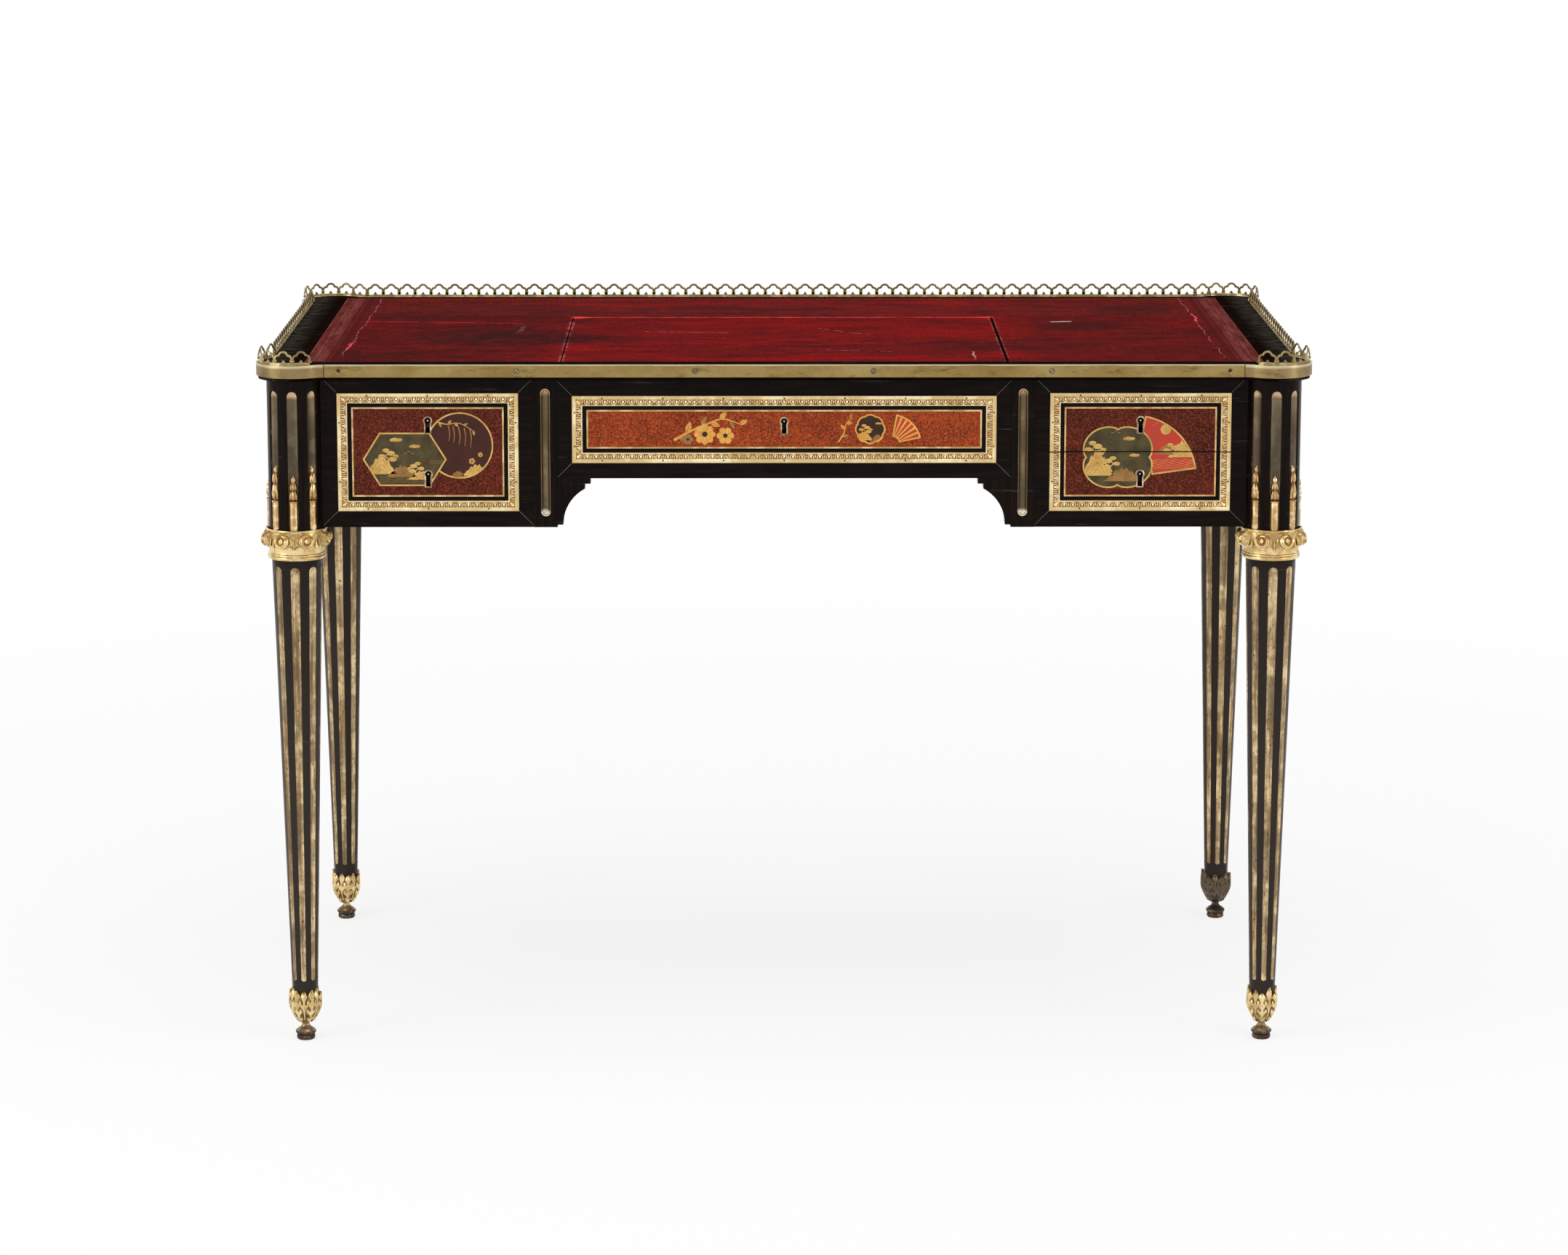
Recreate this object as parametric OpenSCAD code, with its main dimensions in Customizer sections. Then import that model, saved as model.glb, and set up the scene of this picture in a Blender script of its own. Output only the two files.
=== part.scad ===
// Bureau plat: a flat-topped writing desk on four turned, fluted legs, with a leather-lined top that
// has a lift-up centre flap, a pierced gallery, and four frieze drawers faced with framed lacquer panels.
// Millimetres. X runs left to right, -Y is the front, Z is up. The origin is on the floor, midway
// between the four legs.

/* [Overall] */
// Distance between the leg axes, left to right
leg_span_x = 1048; // [960:1:1300]
// Distance between the leg axes, front to back
leg_span_y = 500; // [460:1:640]
// Height of the writing surface above the floor
top_z = 750; // [720:1:790]

/* [Top] */
// Thickness of the top board
top_t = 17; // [15:0.5:24]
// How far the straight edges of the top stand outside the leg axes
edge_out = 29; // [25:0.5:32]
// Radius of the round ear over each leg
ear_r = 40; // [37:0.5:46]
// Radius of the hollow between an ear and a straight edge
ear_hollow_r = 20; // [12:0.5:26]
// Height of the brass band round the edge
band_h = 13.5; // [10:0.5:15]
// Thickness of the brass band
band_t = 2.2; // [2:0.1:3]
// Radius of a screw head in the band
screw_head_r = 2.75; // [2:0.05:3.5]
// Radius of a screw's shank
screw_shank_r = 1.5; // [1:0.05:1.8]
// Length of a screw under its head
screw_l = 14; // [8:1:24]
// Distance between screws, which is evened out over an edge
screw_pitch = 189.6; // [150:0.2:220]
// Distance from an ear to the nearest screw
screw_end = 15.4; // [10:0.1:40]

/* [Leather and flap] */
// Thickness of the leather
leather_t = 1.2; // [0.8:0.1:2]
// Black border at the left and right of the leather
border_side = 41; // [36:1:60]
// Black border in front of the leather
border_front = 23; // [18:1:30]
// Black border behind the leather
border_back = 15; // [10:1:25]
// Width of the lift-up flap
flap_w = 477; // [380:1:477]
// Length of the flap, front to back
flap_l = 350; // [280:1:380]
// Thickness of the flap's board
flap_board_t = 10.3; // [8:0.1:11]
// Slit round the flap
flap_gap = 0.6; // [0.4:0.1:1.2]
// Width of the ledge that carries the flap's sides and back
flap_ledge = 10; // [6:1:16]
// Depth of the well under the flap, from the underside of the top board
well_depth = 32; // [24:1:34]
// Wall of the well
well_wall = 7; // [5:0.5:7]
// Floor of the well
well_floor = 6; // [4:0.5:6]

/* [Gallery] */
// Height of the gallery above the top
gallery_h = 16; // [13:0.5:24]
// Height of its plain bottom rail
gallery_rail_h = 3; // [2:0.5:5]
// Thickness of the gallery
gallery_t = 1.6; // [1.2:0.1:2.4]
// Distance from the edge of the top to the gallery
gallery_inset = 3.2; // [2.6:0.1:6]
// Distance from one trefoil to the next
trefoil_pitch = 19; // [16:0.5:26]
// Width of the metal round a trefoil's opening
trefoil_band = 1.5; // [1:0.1:2]
// How far the front ears' gallery reaches inboard of the leg axis
gallery_front_reach = 20; // [10:1:26]

/* [Legs] */
// Radius of the column beside the frieze
column_r = 29.4; // [27:0.1:33]
// Radius at the top of the tapering leg
leg_top_r = 26.9; // [25:0.1:28]
// Radius where the leg enters its shoe
leg_foot_r = 14; // [12:0.1:15]
// Radius of the neck inside the collar
neck_r = 23; // [20:0.5:24]
// Number of flutes round a leg
flutes = 8; // [8:4:8]
// Half the width of a column's flute
column_flute_r = 6.5; // [5:0.1:7]
// Depth of a column's flute
column_flute_depth = 3.6; // [2.4:0.1:4.5]
// Half the width of a leg's flute at its top
leg_flute_r = 5.2; // [4:0.1:6]
// Depth of a leg's flute
leg_flute_depth = 2.4; // [1.4:0.1:3]
// Thickness of the brass that lines a flute
lining_t = 0.8; // [0.6:0.1:1.2]
// Height of the gilt collar
collar_h = 34; // [28:1:40]
// Radius over the collar's eggs
collar_r = 40; // [37:0.5:46]
// Height of the leaf shoe
shoe_h = 58; // [54:1:66]
// Radius of the shoe
shoe_r = 17.5; // [16.5:0.1:20]
// Radius of the foot under the shoe
foot_r = 11.4; // [9:0.1:14]
// Height of the half-round rod at the bottom of a column's flute
rod_h = 32; // [20:1:40]
// Height of the husks above the rod at the front
husk_short = 28; // [24:1:40]
// Height of the husks above the rod in the flutes beside it
husk_tall = 39; // [28:1:60]

/* [Frieze] */
// Height of the centre unit of the frieze
centre_h = 109; // [106:1:114]
// How far the frieze's face stands outside the leg axes
frieze_out = 7; // [4:0.5:9]
// Thickness of the front and back frames
frame_t = 27; // [26:0.5:32]
// Thickness of the side panels
side_t = 20; // [14:1:26]
// How far the corner block behind a column reaches past the column
post_flat = 0.1; // [0.1:0.1:6]
// Width of a pilaster
pilaster_w = 25; // [22:0.5:30]
// Distance between the two pilasters
kneehole_w = 486; // [484:1:520]
// How far a pilaster stands proud of the frames
pilaster_out = 1; // [0.5:0.1:2]
// Half the width of a pilaster's flute
pilaster_flute_r = 5; // [4:0.1:6]
// Distance from a pilaster's ends to its flute
pilaster_flute_end = 12; // [8:1:20]
// Thickness of the partitions at the kneehole
partition_t = 20; // [16:1:22]
// Height of the brackets at the kneehole
bracket_h = 50.5; // [40:0.5:53]
// Width of the brackets
bracket_w = 35.5; // [30:0.5:44]
// Width of a bracket's thin leg
bracket_leg = 6; // [4:0.5:10]
// Thickness of the brackets
bracket_t = 18; // [12:1:24]
// Thickness of the boards under the side units
case_bottom_t = 10; // [8:0.5:12]

/* [Drawers] */
// Height of the rail above the side units' drawers
rail_top = 15.7; // [14:0.1:20]
// Height of the rail below the side units' drawers
rail_low = 17.1; // [14:0.1:26]
// Height of the rail above the centre drawer
rail_top_centre = 18.7; // [16:0.1:22]
// Width of the black stile at each side of a side unit's drawer
side_stile = 16.25; // [15.25:0.25:23]
// Height of the left drawer front
side_front_h = 128.2; // [118:0.2:130]
// Width of the centre drawer front
centre_front_w = 454; // [440:1:456]
// Height of the centre drawer front
centre_front_h = 73; // [70:0.2:75]
// Gap round a drawer front, and between the two right-hand fronts
front_gap = 0.5; // [0.4:0.1:1]
// Thickness of a drawer front
front_t = 18; // [16:0.5:19]
// Length of a drawer's box behind its front
box_l = 430; // [360:1:440]
// Thickness of a drawer's sides and back
box_side_t = 9; // [7:0.5:12]
// Thickness of a drawer's bottom
box_bottom_t = 6; // [4:0.5:8]
// Running clearance of the drawers
slide_gap = 0.3; // [0.3:0.1:0.8]
// Thickness of the dust board between the right-hand drawers
dust_t = 12; // [11:0.5:14]

/* [Drawer faces] */
// Width of the gilt moulding round a drawer front
mould_w = 11.5; // [9:0.5:13]
// How far the moulding stands out
mould_out = 3; // [1.5:0.1:4]
// Black strip between the moulding and the fillet
strip_w = 4; // [3:0.5:6]
// Width of the gilt fillet round a lacquer panel
fillet_w = 2; // [1:0.1:3]
// How far the fillet stands out
fillet_out = 0.8; // [0.4:0.1:1.2]
// Thickness of a lacquer panel
lacquer_t = 3; // [2:0.5:5]

/* [Locks] */
// Radius of the round part of a keyhole
keyhole_r = 3.4; // [2.6:0.1:4]
// Width of the slot of a keyhole
keyhole_slot = 4.8; // [4.6:0.1:6]
// Width of the brass rim of a keyhole
rim_w = 1.8; // [1:0.1:2.5]
// Height of a keyhole over its rim
keyhole_h = 20; // [18:0.5:24]
// Radius of the pin in a keyhole
key_pin_r = 1; // [0.8:0.1:1.4]
// Height of the upper keyholes' rims above the middle of their front, on the left drawer
keyhole_rise = 29; // [26:0.5:34]
// Width of a lock's case
lock_w = 46; // [36:1:60]
// Thickness of a lock's case
lock_t = 8.5; // [7:0.5:9]
// Height of a lock's case
lock_h = 40; // [34:1:42]
// Width of a lock's bolt
bolt_w = 14; // [8:1:20]
// Thickness of a lock's bolt
bolt_t = 3.5; // [2.5:0.1:4]
// Height of a lock's bolt
bolt_h = 14; // [11:0.5:15]
// How far a bolt rises
bolt_throw = 8; // [5:0.5:8]
// Running clearance of a bolt
bolt_gap = 0.3; // [0.3:0.05:0.5]

/* [Hidden] */
$fn = 64;
EBONY = "#1a1311";
GILT = "#cfae6a";
BRASS = "#a08a50";
RED_LEATHER = "#8a121a";
LACQUER = "#5a2014";
LACQUER_BRIGHT = "#9a3c1e";
OAK = "#9c7a50";
STEEL = "#8c8c88";
// Boards glued edge to edge, and strips of gallery laid end to end, keep this hair-thin seam
SEAM = 0.05;
// A hollow is this much larger than one that only touches the ear and the straight edge
CROSSING = 0.03;

ax = leg_span_x / 2;
ay = leg_span_y / 2;
board_z = top_z - top_t;
frieze_h = rail_top + side_front_h + rail_low + 2 * front_gap;
frieze_z = board_z - frieze_h;
centre_z = board_z - centre_h;
face_y = ay + frieze_out;
face_x = ax + frieze_out;
frame_back_y = face_y - frame_t;
post_w = frieze_out + column_r + post_flat;
post_x = face_x - post_w;
post_y = face_y - post_w;
half_knee = kneehole_w / 2;
pilaster_x = half_knee + pilaster_w;
unit_x = (post_x + pilaster_x) / 2;
side_front_w = post_x - pilaster_x - 2 * side_stile;
ear_tangent = sqrt(pow(ear_r + ear_hollow_r, 2) - pow(edge_out + ear_hollow_r, 2));
ear_angle = atan2(ear_tangent, edge_out + ear_hollow_r);

// Leather and flap
leather_x = ax + edge_out - border_side;
leather_front = -(ay + edge_out - border_front);
leather_back = ay + edge_out - border_back;
crease_y = leather_front + flap_l;
flap_t = flap_board_t + leather_t;
flap_half = flap_w / 2;
well_z = board_z - well_depth;
well_front = -frame_back_y;
well_back = crease_y - flap_ledge + well_wall;
well_half = flap_half - flap_ledge + well_wall;

// Trefoils
lobe_r = (gallery_h - gallery_rail_h) / 3.1;
lobe_x = lobe_r * 1.1;
lobe_low = gallery_rail_h + lobe_r * 0.94;
lobe_high = gallery_h - lobe_r;

// Legs
collar_top = frieze_z;
collar_z = collar_top - collar_h;
column_z = collar_top - 3;
leg_end = shoe_h / 2;
leg_taper = (leg_top_r - leg_foot_r) / (collar_z - shoe_h);
leg_end_r = leg_foot_r - leg_taper * (shoe_h - leg_end);
flute_top = board_z - 12;
leg_flute_low = shoe_h + 10;
leg_flute_high = collar_z - 7;
husk_z = collar_top + rod_h;

// Drawers: each is [centre x, low z, width, height, low z of its box, high z of its box,
// low z and height of the framed face that it shows, or shares with its neighbour]
side_top = board_z - rail_top - front_gap;
side_low = side_top - side_front_h;
half_front_h = (side_front_h - front_gap) / 2;
split_z = side_low + half_front_h + front_gap / 2;
dust_z = split_z - dust_t / 2;
centre_top = board_z - rail_top_centre - front_gap;
centre_low = centre_top - centre_front_h;
box_rise = 3.5;
upper_key = side_low + side_front_h / 2 + keyhole_rise;
lower_key = side_low + side_front_h / 2 - keyhole_rise;
centre_key = centre_low + centre_front_h / 2 + 3.5;
box_room = 4;
LEFT = [-unit_x, side_low, side_front_w, side_front_h,
    side_low + box_rise, side_top - box_room, side_low, side_front_h];
CENTRE = [0, centre_low, centre_front_w, centre_front_h,
    centre_low + box_rise, well_z - well_floor - box_room, centre_low, centre_front_h];
UPPER = [unit_x, split_z + front_gap / 2, side_front_w, half_front_h,
    dust_z + dust_t + slide_gap, side_top - box_room, side_low, side_front_h];
LOWER = [unit_x, side_low, side_front_w, half_front_h,
    side_low + box_rise, dust_z - 1.5, side_low, side_front_h];
box_inset = 2;
box_front_y = -(face_y - front_t);
box_back_y = box_front_y + box_l;
lock_y = box_front_y;
bolt_y = lock_y + lock_t / 2;
key_depth = lock_t / 2 - bolt_t / 2 - bolt_gap - 0.6;
blind_depth = 9;
runner_lap = 8;
guide_h = 14;

// A block given by its low and high corners
module block(low, high) {
    translate(low) cube(high - low);
}

// Copies at all four legs, drawn for the front left one and mirrored
module at_legs() {
    for (mx = [0, 1], my = [0, 1]) mirror([mx, 0, 0]) mirror([0, my, 0]) children();
}

module both_sides() {
    children();
    mirror([1, 0, 0]) children();
}

module front_and_back() {
    children();
    mirror([0, 1, 0]) children();
}

// The corner between an ear and a straight edge, with its hollow taken out
module ear_hollow(hollow, h) {
    reach = ear_hollow_r + edge_out;
    difference() {
        linear_extrude(h) polygon([[0, 0], [ear_tangent, 0], [ear_tangent, -reach]]);
        translate([ear_tangent, -reach, -1]) cylinder(r = hollow + CROSSING, h = h + 2);
    }
}

// A slab with the top's outline, drawn in by an inset: straight edges, a round ear at each leg, a
// hollow each side of it
module top_slab(inset, low, high) {
    out = edge_out - inset;
    hollow = ear_hollow_r + inset;
    h = high - low;
    block([-ax - out, -ay, low], [ax + out, ay, high]);
    block([-ax, -ay - out, low], [ax, ay + out, high]);
    at_legs() translate([-ax, -ay, low]) {
        cylinder(r = ear_r - inset, h = h);
        ear_hollow(hollow, h);
        mirror([1, -1, 0]) ear_hollow(hollow, h);
    }
}

module top_ring(inset, t, low, high) {
    difference() {
        top_slab(inset, low, high);
        top_slab(inset + t, low - 1, high + 1);
    }
}

// The part of the top over one ear, for the front left leg
module ear_region(reach_x, reach_y) {
    far = ear_r + 20;
    block([-ax - far, -ay - far, 0], [-ax + reach_x, -ay + reach_y, top_z + 100]);
}

module flap_opening(grow, low, high) {
    block([-flap_half - grow, leather_front, low], [flap_half + grow, crease_y, high]);
}

module top_board() {
    color(EBONY) difference() {
        top_slab(band_t, board_z, top_z);
        block([-leather_x, leather_front, top_z - leather_t], [leather_x, leather_back, top_z + 1]);
        flap_opening(0, top_z - flap_t, top_z + 1);
        block([-well_half + well_wall, well_front + well_wall, board_z - 1],
              [well_half - well_wall, well_back - well_wall, top_z + 1]);
        screw_places() cylinder(r = screw_shank_r, h = screw_l);
    }
}

module writing_leather() {
    color(RED_LEATHER) difference() {
        block([-leather_x, leather_front, top_z - leather_t], [leather_x, leather_back, top_z]);
        flap_opening(0, top_z - flap_t, top_z + 1);
    }
}

module flap_piece(low, high) {
    block([-flap_half + flap_gap, leather_front + flap_gap, low], [flap_half - flap_gap, crease_y - 0.3, high]);
}

module flap_board() {
    color(EBONY) flap_piece(top_z - flap_t, top_z - leather_t);
}

module flap_leather() {
    color(RED_LEATHER) flap_piece(top_z - leather_t, top_z);
}

// Screws in the band: x or y places along each straight edge, heads flush with the band
function screw_row(half) = let (reach = half - screw_end, n = round(2 * reach / screw_pitch))
    [for (i = [0 : n]) (2 * i / n - 1) * reach];

module screw_places() {
    mid = top_z - band_h / 2;
    y = ay + edge_out;
    x = ax + edge_out;
    for (place = screw_row(ax - ear_tangent)) front_and_back()
        translate([place, -y, mid]) rotate([-90, 0, 0]) children();
    for (place = screw_row(ay - ear_tangent)) both_sides()
        translate([-x, place, mid]) rotate([0, 90, 0]) children();
}

module screw_head() {
    cylinder(r = screw_head_r, h = band_t * 0.7);
}

module edge_band() {
    difference() {
        top_ring(0, band_t, top_z - band_h, top_z);
        screw_places() screw_head();
        screw_places() cylinder(r = screw_shank_r, h = screw_l);
    }
}

module edge_bands() {
    color(BRASS) {
        intersection() {
            edge_band();
            front_and_back() block([-ax + ear_tangent, -ay - 200, 0], [ax - ear_tangent, -ay, top_z + 1]);
        }
        intersection() {
            edge_band();
            both_sides() block([-ax - 200, -ay + ear_tangent, 0], [-ax, ay - ear_tangent, top_z + 1]);
        }
    }
}

module edge_band_corners() {
    color(BRASS) at_legs() intersection() {
        top_ring(0, band_t, top_z - band_h, top_z);
        ear_region(ear_tangent, ear_tangent);
    }
}

module edge_screws() {
    slot = screw_head_r * 0.28;
    color(BRASS) screw_places() difference() {
        union() {
            screw_head();
            cylinder(r = screw_shank_r, h = screw_l);
        }
        translate([0, 0, 0.2]) cube([screw_head_r * 3, slot, 1], center = true);
    }
}

// One trefoil's outline or opening, as points round its three lobes, left to right
function arc(cx, cy, r, from, to, steps) =
    [for (i = [0 : steps]) let (a = from + (to - from) * i / steps) [cx + r * cos(a), cy + r * sin(a)]];

lobe_meet = atan2(lobe_high - lobe_low, -lobe_x) - acos(norm([lobe_x, lobe_high - lobe_low]) / (2 * lobe_r));
top_meet = atan2(lobe_low - lobe_high, lobe_x) + acos(norm([lobe_x, lobe_high - lobe_low]) / (2 * lobe_r));

function trefoil(shift) = concat(
    arc(shift - lobe_x, lobe_low, lobe_r, 235, 180 - lobe_meet, 4),
    arc(shift, lobe_high, lobe_r, 180 - top_meet, top_meet, 5),
    arc(shift + lobe_x, lobe_low, lobe_r, lobe_meet, -55, 4));

function trefoil_hole(shift) = let (r = lobe_r - trefoil_band) concat(
    [[shift, gallery_rail_h + 2.2]],
    arc(shift - lobe_x, lobe_low, r, 290, 90, 4),
    arc(shift, lobe_high, r, 215, -35, 5),
    arc(shift + lobe_x, lobe_low, r, 90, -110, 4));

// A straight run of gallery in the XZ plane, centred on X = 0, bottom at Z = 0, cast in equal strips
module gallery_run(length) {
    strips = ceil(length / trefoil_pitch / 15);
    n = round(length / strips / trefoil_pitch);
    for (i = [0 : strips - 1]) translate([(i + 0.5 - strips / 2) * length / strips, 0, 0])
        gallery_strip(length / strips - SEAM, n);
}

module gallery_strip(length, n) {
    pitch = length / n;
    places = [for (i = [0 : n - 1]) (i + 0.5) * pitch - length / 2];
    outer = concat([[-length / 2, 0], [-length / 2, gallery_rail_h]],
        [for (p = places) each trefoil(p)], [[length / 2, gallery_rail_h], [length / 2, 0]]);
    holes = [for (p = places) trefoil_hole(p)];
    per = len(holes[0]);
    rotate([90, 0, 0]) linear_extrude(gallery_t, center = true) polygon(
        concat(outer, [for (h = holes) each h]),
        concat([[for (i = [0 : len(outer) - 1]) i]],
            [for (k = [0 : n - 1]) [for (i = [0 : per - 1]) len(outer) + k * per + i]]));
}

gallery_mid = gallery_inset + gallery_t / 2;

module gallery_back() {
    color(BRASS) translate([0, ay + edge_out - gallery_mid, top_z]) gallery_run(leg_span_x - 2 * ear_tangent);
}

module gallery_side() {
    translate([-ax - edge_out + gallery_mid, 0, top_z]) rotate([0, 0, 90]) gallery_run(leg_span_y - 2 * ear_tangent);
}

module gallery_left() {
    color(BRASS) gallery_side();
}

module gallery_right() {
    color(BRASS) mirror([1, 0, 0]) gallery_side();
}

// A place on the gallery round an ear, as [x, y, angle], at a distance past the start of the ear's arc.
// Angles are measured at the leg axis from straight out at the edge where the run starts.
ear_arc_r = ear_r - gallery_mid;
hollow_arc_r = ear_hollow_r + gallery_mid;
hollow_arc_l = hollow_arc_r * ear_angle * PI / 180;
function round_ear(s, start, end) = let (arc_l = ear_arc_r * (end - start) * PI / 180)
    s < 0 ? hollow_place(start, ear_angle + s / hollow_arc_r * 180 / PI, 1)
    : s > arc_l ? hollow_place(end, ear_angle - (s - arc_l) / hollow_arc_r * 180 / PI, -1)
    : let (a = start + (end - start) * s / arc_l) [-ear_arc_r * sin(a), -ear_arc_r * cos(a), -a];
function hollow_place(a, left, side) = let (
    far = ear_r + ear_hollow_r,
    centre = [-far * sin(a), -far * cos(a)],
    b = a + side * (ear_angle - left))
    [centre[0] + hollow_arc_r * sin(b), centre[1] + hollow_arc_r * cos(b), -b];

module ear_gallery(start, end, lead) {
    total = ear_arc_r * (end - start) * PI / 180 + hollow_arc_l + lead;
    n = round(total / trefoil_pitch);
    for (i = [0 : n - 1]) {
        place = round_ear((i + 0.5) * total / n - lead, start, end);
        translate([-ax + place[0], -ay + place[1], top_z]) rotate([90, 0, place[2]])
            linear_extrude(gallery_t, center = true) difference() {
                polygon(trefoil(0));
                polygon(trefoil_hole(0));
            }
    }
}

module gallery_corners() {
    front_start = -asin(gallery_front_reach / ear_arc_r);
    color(BRASS) both_sides() {
        ear_gallery(front_start, 90 + ear_angle, 0);
        intersection() {
            top_ring(gallery_inset, gallery_t, top_z, top_z + gallery_rail_h + 0.6);
            ear_region(gallery_front_reach, ear_tangent);
        }
        mirror([0, 1, 0]) {
            ear_gallery(-ear_angle, 90 + ear_angle, hollow_arc_l);
            intersection() {
                top_ring(gallery_inset, gallery_t, top_z, top_z + gallery_rail_h + 0.6);
                ear_region(ear_tangent, ear_tangent);
            }
        }
    }
}

// The flutes of a column that show outside the frieze, by their angle from straight forward
column_angles = [for (i = [-1 : flutes / 2 - 1]) i * 360 / flutes];

module flute_places(angles) {
    for (a = angles) translate([-ax, -ay, 0]) rotate([0, 0, -a]) children();
}

// A flute's outline from a low end to a round high end, cut or laid from a depth behind the surface outwards
module flute_slab(low_end, high_r, length, depth, t) {
    translate([0, depth, 0]) rotate([90, 0, 0]) linear_extrude(t)
        polygon(concat(low_end, arc(0, length, high_r, 0, 180, 8)));
}

// A column's flute is round at its top and runs down behind the rim of the collar
module column_flute(t) {
    r = column_flute_r;
    translate([0, -column_r, collar_top])
        flute_slab([[-r, 0], [r, 0]], r, flute_top - r - collar_top, column_flute_depth, t);
}

// A leg's flute narrows with the leg and lies along its slope
function leg_r(z) = leg_foot_r + leg_taper * (z - shoe_h);
module leg_flute(t) {
    low_r = leg_flute_r * leg_r(leg_flute_low) / leg_top_r;
    low = leg_flute_low + low_r;
    high = leg_flute_high - leg_flute_r;
    lean = atan(leg_taper);
    translate([0, -leg_r(low), low]) rotate([lean, 0, 0])
        flute_slab(arc(0, 0, low_r, 180, 360, 8), leg_flute_r, (high - low) / cos(lean), leg_flute_depth, t);
}

all_angles = [for (i = [0 : flutes - 1]) i * 360 / flutes];

module leg() {
    difference() {
        union() {
            translate([-ax, -ay, column_z]) cylinder(r = column_r, h = board_z - column_z);
            block([-face_x, -face_y, frieze_z], [-post_x, -post_y, board_z]);
            translate([-ax, -ay, collar_z]) cylinder(r = neck_r, h = column_z - collar_z);
            translate([-ax, -ay, leg_end]) cylinder(r1 = leg_end_r, r2 = leg_top_r, h = collar_z - leg_end);
        }
        flute_places(column_angles) column_flute(column_r);
        flute_places(all_angles) leg_flute(leg_top_r);
    }
}

module leg_front_left() {
    color(EBONY) leg();
}

module leg_front_right() {
    color(EBONY) mirror([1, 0, 0]) leg();
}

module leg_back_left() {
    color(EBONY) mirror([0, 1, 0]) leg();
}

module leg_back_right() {
    color(EBONY) mirror([1, 0, 0]) mirror([0, 1, 0]) leg();
}

module column_flute_linings() {
    color(BRASS) at_legs() flute_places(column_angles) column_flute(lining_t);
}

module leg_flute_linings() {
    color(BRASS) at_legs() flute_places(all_angles) leg_flute(lining_t);
}

// A husk stack: a plain half-round rod, two husks and a bud, lying on the lining of a flute
module husk_stack(h) {
    r = column_flute_r - 1.2;
    rotate([0, 0, 180]) rotate_extrude(angle = 180) polygon([
        [0, collar_top], [r, collar_top], [r, husk_z - 2], [r * 0.94, husk_z],
        [r, husk_z + h * 0.08], [r, husk_z + h * 0.2], [r * 0.72, husk_z + h * 0.46],
        [r * 0.86, husk_z + h * 0.52], [r * 0.5, husk_z + h * 0.74],
        [r * 0.56, husk_z + h * 0.8], [r * 0.5, husk_z + h * 0.92], [0, husk_z + h]]);
}

module flute_husks() {
    color(GILT) at_legs() for (i = [0 : len(column_angles) - 1])
        flute_places([column_angles[i]]) translate([0, -column_r + column_flute_depth - lining_t, 0])
            husk_stack(i % 2 == 0 ? husk_tall : husk_short);
}

// The collar: stepped rings below, a band of eggs, and a rim round the foot of the column
module collar() {
    egg_ring = collar_r - 5.4;
    rotate_extrude() polygon([
        [neck_r, collar_z], [leg_top_r + 3.9, collar_z], [leg_top_r + 4.6, collar_z + 1.5],
        [leg_top_r + 3.6, collar_z + 4], [leg_top_r + 4.6, collar_z + 6], [leg_top_r + 4.2, collar_z + 9],
        [egg_ring + 1.4, collar_z + 14], [egg_ring + 2, collar_z + 18], [egg_ring, collar_top - 4],
        [column_r + 3.6, collar_top], [column_r + 1, collar_top], [column_r + 1, column_z],
        [neck_r, column_z]]);
    for (a = all_angles) rotate([0, 0, a + 180 / flutes]) translate([-egg_ring, 0, collar_z + 20]) sphere(5.4);
}

module leg_collars() {
    color(GILT) at_legs() translate([-ax, -ay, 0]) collar();
}

// The shoe: a foot, a neck and a leaf cup that holds the end of the leg
module leaf_shoe() {
    difference() {
        rotate_extrude() polygon([
            [0, 0], [foot_r - 2, 0], [foot_r - 0.4, 2.5], [foot_r, 6], [foot_r - 1, 10], [foot_r * 0.7, 13],
            [foot_r * 0.62, 14.5], [foot_r * 0.41, 16], [foot_r * 0.41, 18], [foot_r * 0.7, 19.5],
            [shoe_r * 0.7, shoe_h * 0.4], [shoe_r * 0.93, shoe_h * 0.54], [shoe_r, shoe_h * 0.7],
            [shoe_r, shoe_h * 0.84], [shoe_r * 0.95, shoe_h], [0, shoe_h]]);
        translate([0, 0, leg_end]) cylinder(r1 = leg_end_r, r2 = leg_end_r + leg_taper * shoe_h, h = shoe_h);
    }
}

module leaf_shoes() {
    color(GILT) at_legs() translate([-ax, -ay, 0]) leaf_shoe();
}

// A fixed frame of the front: a board with an opening for one drawer front, or for two
module drawer_opening(d, height) {
    block([d[0] - d[2] / 2 - front_gap, -face_y - 1, d[1] - front_gap],
          [d[0] + d[2] / 2 + front_gap, -frame_back_y + 1, d[1] + height + front_gap]);
}

module mortise(d, roof) {
    w = bolt_w / 2 + 2 * bolt_gap;
    t = bolt_t / 2 + 2 * bolt_gap;
    block([d[0] - w, bolt_y - t, roof - 1], [d[0] + w, bolt_y + t, roof + bolt_throw]);
}

module side_unit_board() {
    block([-post_x, -face_y, frieze_z], [-pilaster_x, -frame_back_y, board_z]);
}

module front_frame_left() {
    color(EBONY) difference() {
        side_unit_board();
        drawer_opening(LEFT, side_front_h);
        mortise(LEFT, side_top + front_gap);
    }
}

module front_frame_right() {
    color(EBONY) difference() {
        mirror([1, 0, 0]) side_unit_board();
        drawer_opening(LOWER, side_front_h);
        mortise(UPPER, side_top + front_gap);
    }
}

module front_frame_centre() {
    color(EBONY) difference() {
        block([-half_knee, -face_y, centre_z], [half_knee, -frame_back_y, board_z]);
        drawer_opening(CENTRE, centre_front_h);
        mortise(CENTRE, centre_top + front_gap);
    }
}

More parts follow.
